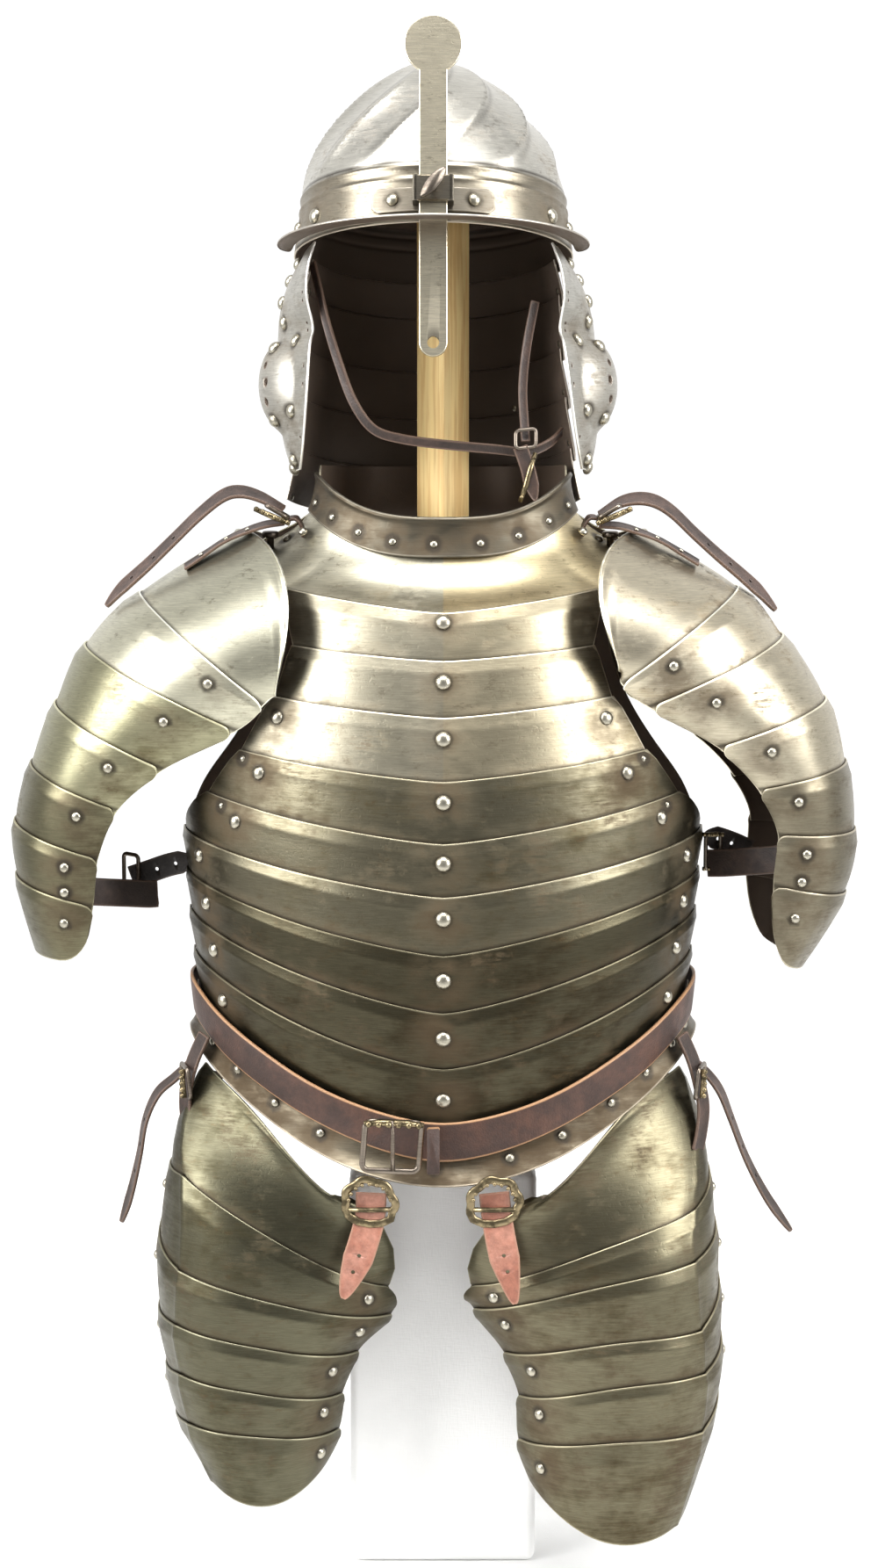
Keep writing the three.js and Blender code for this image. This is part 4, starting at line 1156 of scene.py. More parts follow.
# The brow band is darker than the dome; painted shade lies in a dark line along the top of the band
# and in the grooves of the flutes.
local = corners_of(skull.data) * 1000 - (HELMET["x"], 0, HELMET["z"])
ahead = cosine(HELMET["tilt"]) * local[:, 1] - sine(HELMET["tilt"]) * local[:, 2]
up = sine(HELMET["tilt"]) * local[:, 1] + cosine(HELMET["tilt"]) * local[:, 2]
height = np.clip((up - SKULL["band"]) / SKULL["dome"], 0, 1)
turn = np.degrees(np.arctan2(local[:, 0], -ahead)) - SKULL["twist"] * height
groove = np.clip(1 - np.abs(np.sin(SKULL["flutes"] * np.radians(turn) / 2)) / 0.28, 0, 1)
keep(skull.data, "brow", np.clip((SKULL["band"] + 1 - up) / 2, 0, 1))
keep(skull.data, "painted_groove_shade", np.maximum(0.9 * np.exp(-((up - SKULL["band"] - 1.6) / 1.1) ** 2),
                                    0.45 * groove * np.clip(5 * height * (1 - height), 0, 1)))
tree = skull_steel.node_tree
effect = next(node for node in tree.nodes if node.bl_idname == "ShaderNodeGroup")
for socket, dome, brow in (("Bright", (0.60, 0.58, 0.52, 1), (0.27, 0.24, 0.185, 1)),
                           ("Dull", (0.27, 0.235, 0.17, 1), (0.12, 0.10, 0.07, 1))):
    feed(tree, effect.inputs[socket], tint(mask(tree, "brow"), dome, brow))
# Painted shade darkens the crease along the top of the brow band and the flute grooves.
feed(tree, tree.nodes["Principled BSDF"].inputs["Base Color"],
     tint(mask(tree, "painted_groove_shade"), effect.outputs["Color"], (0.045, 0.035, 0.025, 1)))
finish_plate(skull, skull_steel, "skull", spots)


# ---------------------------------------------------------------- peak
# A thin flared plate riveted under the brow, slotted for the nasal bar, with a filed edge.
PEAK = {"reach": 42, "sides": 9, "top": 4.5, "drop": 9.5, "ends": 0.45, "spread": 78, "off": 2.8}
NASAL = {"width": 19.5, "thick": 3, "y": -129, "disc": 20, "discZ": 120, "bottom": -95,
         "hole": 4.2}


def peak_point(s, t):
    angle = mix(-PEAK["spread"], PEAK["spread"], s)
    ahead = mix(PEAK["sides"], PEAK["reach"], cosine(angle * 90 / PEAK["spread"]))
    ahead = ahead * (1 - 0.75 * np.abs(2 * s - 1) ** 24)
    out = PEAK["off"] + ahead * t ** 1.3
    drop = PEAK["drop"] * mix(PEAK["ends"], 1, cosine(angle * 90 / PEAK["spread"]))
    return point((HELMET["half"] + out) * sine(angle), -(HELMET["front"] + out) * cosine(angle),
                 PEAK["top"] - drop * t ** 0.7)


def cut_away(piece, tool, shade_walls=True):
    """Take the tool's shape out of a piece and keep the result as a plain mesh, with the walls of
    the holes painted dark as shade unless told not to."""
    modifier = piece.modifiers.new("cut", "BOOLEAN")
    modifier.operation, modifier.solver, modifier.object = "DIFFERENCE", "EXACT", tool
    bpy.context.view_layer.update()
    made = piece.evaluated_get(bpy.context.evaluated_depsgraph_get())
    mesh = bpy.data.meshes.new_from_object(made)
    kept = {tuple(corner) for corner in np.round(corners_of(piece.data), 7)}
    rim = [k for k, corner in enumerate(np.round(corners_of(mesh), 7))
           if shade_walls and tuple(corner) not in kept]
    for name, value in (("edge", FAR / 1000), ("hidden", 1.0)):
        for k in rim if name in mesh.attributes else ():
            mesh.attributes[name].data[k].value = value
    piece.modifiers.clear()
    piece.data = mesh
    bpy.data.objects.remove(tool)


def peg(name, places, ways, radii, reach=12, around=16):
    """Several round pegs in one mesh, through millimetre points, to cut holes with."""
    corners, faces = [], []
    for place, way, radius in zip(places, ways, radii):
        way = unit(np.array(way, float))
        across = unit(np.cross(way, (0.3, 0.2, 1.0)))
        along = np.cross(way, across)
        faces += tube(2, around, first=len(corners))
        corners += [np.array(place) + way * end + radius * (math.cos(a) * across
                                                            + math.sin(a) * along)
                    for end in (-reach, reach) for a in np.arange(around) / around * math.tau]
    count = len(corners)
    # The pegs carry the inner-face mark and a lap distance of nought, so the walls they cut are
    # painted in shade.
    return solid(name, corners, faces, smooth=False, edge=np.full(count, FAR),
                 under=np.zeros(count), hidden=np.ones(count))


peak = forge("peak_plate", worn(peak_point), near_ends(100, 0.003),
             np.array([0.02, 0.05, 0.15, 0.3, 0.45, 0.6, 0.75, 0.88, 0.96, 0.985, 1.0]),
             lambda s, t: 0.7 * np.exp(-((t - 0.965) / 0.03) ** 2))
slot_room = [NASAL["width"] + 4, NASAL["thick"] + 4, 60]
half_room = np.array(slot_room) / 2
box_corners = [np.array([x, y, z]) * half_room + (0, NASAL["y"], 0)
               for z in (-1, 1) for y in (-1, 1) for x in (-1, 1)]
BOX_FACES = [(0, 2, 3, 1), (4, 5, 7, 6), (0, 1, 5, 4), (2, 6, 7, 3), (0, 4, 6, 2), (1, 3, 7, 5)]
cut_away(peak, solid("nasal_slot", tip(box_corners), BOX_FACES, smooth=False))
finish_plate(peak, steel("peak_steel", (0.255, 0.237, 0.201), (0.098, 0.085, 0.061), 0.8, 0.6),
             "peak")


# ---------------------------------------------------------------- nasal bracket
# A forged staple on a base plate with clipped corners, riveted to the brow. The nasal bar
# slides through it, and the wing screw clamps the bar from the front.
BRACKET = {"spread": 24, "z": 15.2, "tall": 17, "boxZ": 20, "boxWide": 28, "boxTall": 18,
           "back": -121.5, "front": -136, "clear": 0.5}
SCREW = {"shaft": 2.8, "wing": 13, "wingTall": 4.5, "angle": 51, "out": -150}


def bracket_point(s, t):
    angle = mix(-BRACKET["spread"], BRACKET["spread"], s)
    z = BRACKET["z"] + BRACKET["tall"] * (0.5 - t)
    taper = SKULL["taper"] * z / SKULL["band"]
    return point((HELMET["half"] - taper) * sine(angle),
                 -(HELMET["front"] - taper) * cosine(angle), z)


def clipped(s):
    return 0.2 * np.clip(1 - np.minimum(s, 1 - s) / 0.05, 0, 1)


base_lift = lambda s, t: 3.4 + 0 * s
base = forge("bracket_base", worn(bracket_point),
             np.array([0, 0.005, 0.025, 0.05, 0.1, 0.2, 0.3, 0.4, 0.5, 0.6, 0.7, 0.8, 0.9, 0.95,
                       0.975, 0.995, 1.0]),
             np.array([0, 0.03, 0.2, 0.5, 0.8, 0.97, 1.0]), base_lift, 2.0,
             start=clipped, stop=lambda s: 1 - clipped(s))
spots = [rivet(worn(bracket_point), base_lift, s, 0.5, 4.6) for s in (0.17, 0.83)]
bracket_steel = steel("bracket_steel", (0.20, 0.18, 0.145), (0.09, 0.078, 0.058), 0.3, 0.5, 0.3)
finish_plate(base, bracket_steel, "nasal_bracket", spots)

# The staple: two side bars from the base plate and a bevelled face plate across them.
SIDE_BAR = {"wide": 4.0, "apart": 12.2}
FACE = {"back": 4.4, "front": 1.0, "bevel": 2}
deep, middle_y = BRACKET["back"] - BRACKET["front"], (BRACKET["back"] + BRACKET["front"]) / 2
for name, side in (("cheek_a", -1), ("cheek_b", 1)):
    low = placed(rounded_loop(SIDE_BAR["wide"], deep, 1.2, 3), (0, 0, 0), (1, 0, 0), (0, 1, 0)) + (
        side * SIDE_BAR["apart"], middle_y, BRACKET["boxZ"] - BRACKET["boxTall"] / 2)
    rings = np.concatenate([low, low + (0, 0, BRACKET["boxTall"])])
    finish_small(solid(f"bracket_{name}", tip(rings), tube(2, len(low)), smooth=False),
                 bracket_steel)
rings = [placed(rounded_loop(BRACKET["boxWide"] - less, BRACKET["boxTall"] - less, corner, 4),
                (0, BRACKET["front"] + y, BRACKET["boxZ"]), (1, 0, 0), (0, 0, 1))
         for y, less, corner in ((FACE["back"], 0, 1.5), (FACE["front"], 0, 1.5),
                                 (0, FACE["bevel"], 1.0))]
finish_small(solid("bracket_face", tip(np.concatenate(rings)), tube(3, len(rings[0])),
                   smooth=False), bracket_steel)


# ---------------------------------------------------------------- nasal bar
# A flat forged bar with a rounded, pierced lower end and a round disc on top, its front edges
# bevelled. It slides up and down through the bracket.
end_z, half_wide = NASAL["bottom"] + NASAL["width"] / 2, NASAL["width"] / 2
join_up = math.degrees(math.asin(half_wide / NASAL["disc"]))
arc = [(half_wide, end_z, math.radians(180 + 180 * k / 24)) for k in range(25)]
head = [(NASAL["disc"], NASAL["discZ"],
         math.radians(-90 + join_up + (360 - 2 * join_up) * k / 40)) for k in range(41)]
curved = [[(radius * math.cos(a), z + radius * math.sin(a)) for radius, z, a in part]
          for part in (arc, head)]
outline = np.array([*curved[0], (half_wide, 0), *curved[1], (-half_wide, 0)])
count = len(outline)
inward = unit(np.roll(outline, 1, 0) - np.roll(outline, -1, 0))
inward = np.stack([inward[:, 1], -inward[:, 0]], 1)
if np.sum(inward * (outline - outline.mean(0))) > 0:
    inward = -inward
front, rear = NASAL["y"] - NASAL["thick"] / 2, NASAL["y"] + NASAL["thick"] / 2


def flat_ring(inset, y):
    moved = outline + inward * inset
    return np.stack([moved[:, 0], np.full(count, y), moved[:, 1]], 1)


# Rings from the back round to the front face: inset, place through the bar, way to its edge.
BEVEL = ((0.5, rear, 0.6), (0, rear - 0.4, 0.2), (0, front + 0.7, 0.2), (0.2, front + 0.2, 0.2),
         (0.5, front, 0.9), (2.6, front, 3), (3.2, front, 4))
rings = np.concatenate([flat_ring(inset, y) for inset, y, _ in BEVEL])
edge = np.repeat([away for _, _, away in BEVEL], count)
bar_piece = solid("nasal_bar_plate", tip(rings), tube(len(BEVEL), count), smooth=False, edge=edge,
                  under=edge * 0 + FAR, hidden=edge * 0)
hole_way = tip([(0, -1, 0)]) - tip([(0, 0, 0)])
cut_away(bar_piece, peg("nasal_hole", tip([(0, NASAL["y"], end_z)]), hole_way,
                        [NASAL["hole"]], around=28), shade_walls=False)
nasal_steel = steel("nasal_steel", (0.66, 0.60, 0.46), (0.36, 0.31, 0.21), 0.4, 0.45, 0.15)
finish_plate(bar_piece, nasal_steel, "nasal_bar", body="nasal")


# ---------------------------------------------------------------- wing screw
# A turned shank with a flat leaf-shaped wing, screwed through the front of the bracket.
screw_mid = tip([(0, SCREW["out"], BRACKET["boxZ"])])[0]
screw_way = tip([(0, 1, 0)])[0] - tip([(0, 0, 0)])[0]
shank_long = NASAL["y"] - NASAL["thick"] / 2 - BRACKET["clear"] - SCREW["out"]
shank = turned("wing_screw_shank", [(0.3, -1.2), (3.4, -1.0), (4.2, 0), (4.2, 3.2), (3.2, 4.6),
                                    (SCREW["shaft"], 5.4), (SCREW["shaft"], shank_long - 0.5),
                                    (2.2, shank_long)],
               screw_mid, screw_way)
finish_small(shank, dark_iron, "screw")
LEAF = ((-1.5, 0.86), (-0.9, 1.0), (0.9, 1.0), (1.5, 0.86))  # depth, size
leaf, count = [], 32
c, w = math.cos(math.radians(SCREW["angle"])), math.sin(math.radians(SCREW["angle"]))
for depth, size in LEAF:
    for a in np.arange(count) / count * math.tau:
        x = SCREW["wing"] * math.cos(a) * (0.97 + 0.03 * size)
        z = SCREW["wingTall"] * math.sin(a) * size * (1 - 0.25 * math.cos(a) ** 2)
        leaf.append((x * c - z * w, SCREW["out"] + depth, BRACKET["boxZ"] + x * w + z * c))
wing = solid("wing_screw_leaf", tip(leaf), tube(len(LEAF), count))
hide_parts("wing_screw")
finish_small(wing, dark_iron, "screw")


# ---------------------------------------------------------------- cheekpieces
# Each hangs from the brow on a leather and swells over the ear into a boss pierced with hearing
# holes; its lining was stitched through the pairs of small holes along the front edge.
CHEEK = table("z front back atFront atSide", [
    (-1.5, -66, 40, 85, 97), (-20, -66, 42, 90, 108), (-40, -64, 44, 91, 114),
    (-60, -52, 44, 87, 116), (-76, -60, 43, 89, 116), (-116, -54, 36, 92, 114),
    (-143, -38, 22, 95, 109), (-158, -18, 4, 98, 102),
])
EAR_BOSS = {"y": -6, "z": -95, "radius": 34, "rise": 15}
CHEEK_HANG = {"x": 96, "left": 0, "right": 4}
CHEEK_ROWS = len(CHEEK["z"]) - 1
BOSS_FRONT, BOSS_BACK = CHEEK["front"][4], CHEEK["back"][4]  # the edges level with the boss
HEARING_HOLES = ((-82, -16, 2.4), (-95, -20, 2.6), (-108, -17, 2.6), (-88, 8, 2.4),
                 (-102, 8, 2.4))  # z, y, radius
LINING_HOLES = {"in": 0.055, "radius": 0.9, "down": (0.26, 0.30, 0.40, 0.44, 0.62, 0.66, 0.82)}
# Rivets: share across from the front edge and share down.
CHEEK_RIVETS = ((0.42, 0.06), (0.60, 0.12), (0.55, 0.24), (0.40, 0.36), (0.20, 0.50),
                (0.40, 0.52), (0.24, 0.72), (0.44, 0.74), (0.30, 0.92), (0.52, 0.97))


def cheek_point(s, t):
    of = columns_at(CHEEK, t * CHEEK_ROWS)
    y, z = mix(of("front"), of("back"), s), of("z")
    swell = np.sin(math.pi / 2 * np.clip(s / 0.7, 0, 1))
    apart = np.hypot(y - EAR_BOSS["y"], z - EAR_BOSS["z"]) / EAR_BOSS["radius"]
    boss = EAR_BOSS["rise"] * np.maximum(1 - apart ** 2, 0) ** 0.7
    return point(mix(of("atFront"), of("atSide"), swell) + boss, y, z)


def hung(side, degrees):
    """The cheekpiece surface on one side, hanging a little outwards, where the helmet sits."""
    def at(s, t):
        local = cheek_point(s, t)
        c, w = cosine(degrees), sine(degrees)
        x, z = local[..., 0] - CHEEK_HANG["x"], local[..., 2]
        swung = point(CHEEK_HANG["x"] + c * x - w * z, local[..., 1], w * x + c * z)
        return worn(lambda s, t: swung, side)(s, t)
    return at


cheek_steel = steel("cheek_steel", (0.51, 0.493, 0.442), (0.23, 0.212, 0.17), 0.8, 0.5)
spread = np.linspace(0.3, 0.9, 121)  # where down a cheekpiece the hearing holes are looked for
for name, side in (("left", -1), ("right", 1)):
    at = hung(side, CHEEK_HANG[name])
    cheek = forge(f"cheek_{name}_plate", at, near_ends(44, 0.006), near_ends(64, 0.005),
                  side=side)
    holes = []
    for z, y, radius in HEARING_HOLES:
        boss_s = (y - BOSS_FRONT) / (BOSS_BACK - BOSS_FRONT)
        boss_t = spread[np.argmin(np.abs(cheek_point(boss_s, spread)[..., 2] - z))]
        holes.append((np.float64(boss_s), boss_t, radius))
    holes += [(np.float64(LINING_HOLES["in"]), np.float64(down), LINING_HOLES["radius"])
              for down in LINING_HOLES["down"]]
    mirror = np.array([side, 1, 1])
    cut_away(cheek, peg("cheek_holes", [at(s, t) * mirror for s, t, _ in holes],
                        [facing_of(at, s, t, 0, 1) * mirror for s, t, _ in holes],
                        [radius for _, _, radius in holes], reach=5))
    spots = [rivet(at, None, s, t, 5.2, f"cheek_{name}", side) for s, t in CHEEK_RIVETS]
    finish_plate(cheek, cheek_steel, f"cheek_{name}", spots, body=f"cheek_{name}")


# ---------------------------------------------------------------- neck guard
# Five lames of dull, unpolished steel, each under the one above, riveted at the middle and both
# sides so that they slide as the head tips.
TAIL = table("z half depth", [
    (4, 92, 114), (-22, 96, 123), (-62, 97, 133), (-98, 101, 142), (-136, 105, 153),
    (-174, 110, 166),
])
TAIL_REACH = 80
TAIL_LAMES = 5
tail_steel = steel("neck_guard_steel", (0.40, 0.37, 0.31), (0.16, 0.14, 0.11), 0.9, 0.6)
for index in range(TAIL_LAMES):
    last = index == TAIL_LAMES - 1

    def on_tail(s, t):
        angle = 180 + mix(-TAIL_REACH, TAIL_REACH, s)
        of = columns_at(TAIL, index + t)
        return point(of("half") * sine(angle), -of("depth") * cosine(angle), of("z"))

    def tail_lift(s, t):
        return STEP * np.clip((t - LAP) / (1 - LAP), 0, 1)

    at = worn(on_tail)
    stops = np.array([0, 0.012, 0.12, 0.22, 0.4, 0.6, 0.8, 0.97, 0.988, 1.0])
    if not last:
        stops = np.concatenate([stops, [1.1, 1.2, 1 + LAP]])
    lame = forge(f"tail_lame_{index + 1}_plate", at, near_ends(64, 0.003), stops, tail_lift)
    spots = [rivet(at, tail_lift, s, 0.86, 3.4) for s in (0.03, 0.5, 0.97)]
    if index in (2, 4):
        spots += [rivet(at, tail_lift, s, 0.86, 3.4) for s in (0.26, 0.74)]
    finish_plate(lame, tail_steel, f"tail_lame_{index + 1}", spots)


# ---------------------------------------------------------------- chin strap
# A narrow strap of soft dark leather, riveted inside the left cheekpiece, that hangs in a slack
# curve and buckles to a short piece on the right.


def ribbon(name, route, across, width, steps, thick=2.4, point_share=0.0, holes=(), side=1,
           wave=0.0, finish=None, nodes=()):
    """A leather strap of even width along a smooth route, with rounded edges, an optional
    pointed end and buckle holes at shares of its length, with its leather and its cut size."""
    route, across = np.array(route, float), np.array(across, float)
    knots = {key: route[:, k] for k, key in enumerate("xyz")}

    def line(s):
        place = np.clip(s, 0, 1) * (len(route) - 1)
        return point(*(between(knots, key, place) for key in "xyz"))

    def at(s, t):
        s = np.asarray(s, float) + 0 * np.asarray(t, float)
        ahead = unit(line(np.clip(s + 2e-3, 0, 1)) - line(np.clip(s - 2e-3, 0, 1)))
        way = across - ahead * np.sum(ahead * across, -1)[..., None]
        narrow = np.ones_like(s)
        if point_share:
            narrow = np.minimum(0.12 + 0.88 * np.clip((1 - s) / point_share, 0, 1) ** 0.8, 1)
        return line(s) + unit(way) * (width * narrow * (t - 0.5))[..., None]

    total = float(np.sum(np.linalg.norm(np.diff(line(np.linspace(0, 1, 200)), axis=0), axis=1)))
    strap = forge(name, at, near_ends(steps, 0.6 / total),
                  np.array([0, 0.04, 0.14, 0.5, 0.86, 0.96, 1.0]),
                  lambda s, t: thick / 2 - 0.35 * np.clip((np.abs(t - 0.5) - 0.36) / 0.14, 0, 1)
                  + wave * np.sin(9 * s + 2 * t), thick, side)
    if holes:
        middle, mirror = np.float64(0.5), (side, 1, 1)
        spots = [at(np.float64(s), middle) * mirror for s in holes]
        ways = [facing_of(at, np.float64(s), middle, 0, 1) * mirror for s in holes]
        cut_away(strap, peg(name + "_holes", spots, ways, [1.5] * len(holes), around=14))
    plain_masks(strap)
    strap.data.materials.append(finish or brown_leather)
    if nodes:
        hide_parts(*nodes)
    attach(strap, "root")


brown_leather = leather("brown_leather", (0.026, 0.015, 0.011), (0.080, 0.046, 0.034),
                        (0.11, 0.066, 0.045), 0.7)
CHIN = [(-94, -44, 994), (-89, -54, 974), (-83, -62, 949), (-74, -68, 920), (-64, -72, 894),
        (-50, -74, 875), (-30, -75, 868), (0, -75, 864), (34, -74, 861), (60, -68, 859),
        (76, -58, 865), (86, -44, 874)]
ribbon("chin_strap_leather", CHIN, (0.25, -0.3, 1), 6.6, 120,
       nodes=["chin_strap"])
CHIN_LOOP = [(66, -56, 966), (60, -62, 935), (57, -66, 905), (58, -70, 880), (59, -74, 866)]
ribbon("chin_strap_tab", CHIN_LOOP, (1, 0.2, 0), 6, 60, 2.0)
buckle("chin_buckle_frame", 15, 13, 3, ((59, -77.5, 868), (1, 0.2, 0.1), (0, 0.1, 1)), 1.3)
tongue = np.array([(66, -78, 858), (62, -79.5, 846), (59, -79, 834), (55, -77.5, 823)])
finish_small(bar("chin_buckle_bar", tongue, [1.6, 2.0, 2.0, 1.4]), brass)
bead_row(tongue[0], tongue[-1], 5, 0.1, 0.2, (0, -1.4, 0), (0, -1.0, 0), 1.5)
TAIL_END = [(55, -78, 862), (60, -78.5, 848), (63, -78.5, 836), (66, -77, 824)]
ribbon("chin_strap_end", TAIL_END, (1, 0, 0.3), 10, 30, 1.8, 0.3)


# ---------------------------------------------------------------- shoulder straps
# A strap from the backplate comes up through a brass-barred buckle beside the collar; its free
# end stands over the pauldron. A shorter strap under it holds the pauldron up.
SHOULDER_STRAPS = {
    "left": {"side": -1, "over": [
        (118, -25, 817), (134, -25, 826), (149, -25, 830), (162, -25, 827), (180, -25, 813),
        (199, -25, 795), (218, -25, 777), (238, -25, 759), (249, -25, 746)],
        "under": [(117, -30, 808), (131, -31, 806), (148, -32, 800), (163, -32, 793),
                  (178, -32, 783), (190, -32, 775)]},
    "right": {"side": 1, "over": [
        (116, -25, 813), (130, -25, 822), (143, -25, 825), (156, -25, 823), (169, -25, 815),
        (185, -25, 800), (203, -25, 784), (221, -25, 769), (235, -25, 756), (246, -25, 743)],
        "under": [(115, -30, 806), (130, -31, 805), (146, -32, 800), (161, -32, 794),
                  (175, -32, 786), (188, -32, 778)]},
}


def beaded_bar(name, low, high, bulge, count, start, step, off, facing, radius,
               radii=(1.8, 2.3, 1.8)):
    """A cast brass bar between two points, swelling by bulge in the middle, with beads on it."""
    low, high = np.array(low, float), np.array(high, float)
    finish_small(bar(name, [low, mix(low, high, 0.5) + bulge, high], radii), brass)
    bead_row(low, high, count, start, step, off, facing, radius)


for name, shoulder in SHOULDER_STRAPS.items():
    side = shoulder["side"]
    ribbon(f"shoulder_strap_{name}_leather", shoulder["over"], (0.2, 1, 0.4), 19, 90, 2.6, 0.14,
           (0.62, 0.72, 0.82), side, 0.3,
           nodes=[f"shoulder_strap_{name}"])
    ribbon(f"pauldron_strap_{name}", shoulder["under"], (0, 1, 0.2), 17, 50, 2.2, 0, (), side,
           0.3)
    for share in (0.35, 0.55, 0.8):
        route = np.array(shoulder["under"], float)
        k = share * (len(route) - 1)
        place = mix(route[int(k)], route[int(k) + 1], k % 1) * (side, 1, 1) + (0, -4, 1.6)
        RIVETS.append((place, np.array([side * 0.45, -0.25, 0.85]), 1.9, "root"))
    buckle(f"shoulder_buckle_{name}", 17, 26, 3,
           ((122 * side, -26, 816), (0.85 * side, 0, 0.5), (0, 1, 0)), 1.7, (0.5, 0, 1))
    beaded_bar(f"shoulder_buckle_bar_{name}", (112 * side, -41, 807.0), (138 * side, -41, 818.0),
               (0, -0.8, 0), 6, 0.06, 0.176, (0, -1.6, 0.4), (0, -1.0, 0.3), 2.0)
    # Loop of leather beside the collar, under its own rivet.
    ribbon(f"collar_loop_{name}", [(103 * side, -24, 800), (104 * side, -27, 806),
                                   (108 * side, -27, 811), (114 * side, -25, 811)],
           (0, 1, 0.2), 12, 20, 2.0)
    RIVETS.append((np.array([103 * side, -34, 801.5]), np.array([side * 0.3, -0.7, 0.65]), 3.4,
                   "root"))


# ---------------------------------------------------------------- arm straps
# A band of brown leather round the inside of each lower arm plate, riveted at the front end and
# buckled to a darker, holed strap from behind.
ARM_STRAPS = {
    "left": {"side": -1, "middle": (236, -6, 545), "band": [
        (264, -46, 536), (250, -38, 534), (236, -29, 532), (221, -21, 530), (215, -18, 530)],
        "tail": [(236, -4, 540), (222, -6, 545), (208, -8, 550), (196, -10, 553),
                 (187, -11, 555)]},
    "right": {"side": 1, "middle": (203, -17, 562), "band": [
        (250, -44, 560), (238, -38, 558), (224, -31, 556), (210, -24, 554), (199, -18, 553)],
        "tail": [(232, -4, 560), (222, -6, 565), (212, -8, 569), (203, -10, 572),
                 (197, -11, 574)]},
}
for name, arm in ARM_STRAPS.items():
    side = arm["side"]
    middle = np.array(arm["middle"]) * (side, 1, 1)
    ribbon(f"arm_strap_{name}", arm["band"], (0, 0.1, 1), 20, 40, side=side)
    holed_leather = leather(f"arm_leather_{name}", (0.02, 0.016, 0.014), (0.06, 0.045, 0.038),
                            (0.10, 0.075, 0.06), 0.5)
    ribbon(f"arm_strap_tail_{name}", arm["tail"], (0.2, 0, 1), 17, 36, 2.2, 0.3, (0.35, 0.62),
           side, finish=holed_leather)
    buckle(f"arm_buckle_{name}", 13, 26, 3, (middle, (side, 0.5, 0.1), (0, 0, 1)), 1.6)
for up, which in ((-13, "low"), (13, "high")):
    beaded_bar(f"arm_buckle_bar_right_{which}", middle + (-8, -1.5, up), middle + (8, -1.5, up),
               (0, 0, 0), 5, 0.08, 0.21, (0, -1.3, 0), (0, -1.0, 0), 1.7, (1.5, 1.9, 1.5))


# ---------------------------------------------------------------- tasset straps
# Each tasset hangs from the flange on two straps. The inner one is faded red leather, pointed,
# through a scalloped brass buckle. The outer one buckles at the hip and its end hangs free.
red_leather = leather("red_leather", (0.29, 0.11, 0.07), (0.45, 0.22, 0.16), (0.34, 0.18, 0.12),
                      0.8)
HIP_STRAPS = {
    "left": [(186, -46, 409), (200, -48, 396), (213, -50, 384), (222, -51, 364),
             (227, -52, 338), (234, -52, 309), (241, -52, 286)],
    "right": [(186, -46, 409), (198, -48, 398), (207, -50, 385), (215, -51, 365),
              (227, -52, 335), (243, -52, 305), (261, -52, 279)],
}
HIP_DROPS = {
    "left": [(176, -66, 432), (184, -68, 414), (189, -70, 396), (190, -72, 378), (187, -76, 362),
             (184, -80, 350)],
    "right": [(176, -66, 432), (184, -68, 414), (189, -70, 396), (192, -72, 378),
              (190, -76, 360), (187, -80, 348)],
}
TONGUES = {
    "left": [(51, -157, 338), (52, -158, 320), (58, -160, 298), (66, -160, 276), (71, -159, 262)],
    "right": [(36, -157, 338), (38, -158, 320), (42, -160, 298), (47, -160, 276), (51, -159, 258)],
}
# The arched buckle: a cast frame with a scalloped inner edge, its bar low down.
ARCH = {"wide": 17.5, "tall": 17, "from": -20, "sweep": 220, "scallops": 7, "deep": 0.05,
        "foot": [(-15, -9), (-8, -13), (0, -14), (8, -13), (15, -9)], "left": 52, "right": 36}
for name, side in (("left", -1), ("right", 1)):
    ribbon(f"hip_strap_end_{name}", HIP_STRAPS[name], (0.3, 1, 0), 15, 80, 2.4, 0.12,
           (0.5, 0.62, 0.74), side, 0.4,
           nodes=[f"tasset_strap_{name}"])
    ribbon(f"hip_strap_{name}", HIP_DROPS[name], (0.5, 0.8, 0), 16, 50, side=side)
    buckle(f"hip_buckle_{name}", 24, 22, 3,
           ((190 * side, -68, 398), (0.3 * side, 1, 0), (0.1 * side, 0, 1)), 1.7, (1, 0, 0))
    beaded_bar(f"hip_buckle_bar_{name}", (190 * side, -80, 388), (191 * side, -78, 409),
               (side, 0, 0), 5, 0.08, 0.21, (1.5 * side, -1, 0), (side, -0.6, 0), 2.0)

    ribbon(f"tasset_tongue_{name}_leather", TONGUES[name], (1, 0, 0.3), 21, 60, 2.4, 0.42,
           (0.55, 0.68), side, finish=red_leather,
           nodes=[f"tasset_tongue_{name}"])

    middle, up = np.array((ARCH[name] * side, -161, 330.0)), (0, -0.12, 1)
    arch = []
    for k in range(41):
        a = math.radians(ARCH["from"] + ARCH["sweep"] * k / 40)
        scallop = 1 + ARCH["deep"] * math.cos(ARCH["scallops"] * a)
        arch.append((ARCH["wide"] * math.cos(a) * scallop, ARCH["tall"] * math.sin(a) * scallop + 2))
    loop = placed(arch + ARCH["foot"], middle, (1, 0.02, 0.08 * side), up)
    finish_small(bar(f"arch_buckle_{name}", loop, 3.0, 12, 0.55, (0, 1, 0), loop=True), brass)
    cross = placed([(-15, -3), (0, -3.5), (15, -3)], middle, (1, 0.02, 0), up)
    finish_small(bar(f"arch_buckle_bar_{name}", cross, 1.8), brass)
    for a in np.radians(10 + 160 * np.arange(9) / 8):
        spot = placed([(15.0 * math.cos(a), 14.5 * math.sin(a) + 2)], middle, (1, 0.02, 0), up)
        BEADS.append((spot[0] + (0, -1.4, 0), np.array([0, -1.0, 0]), 1.5))


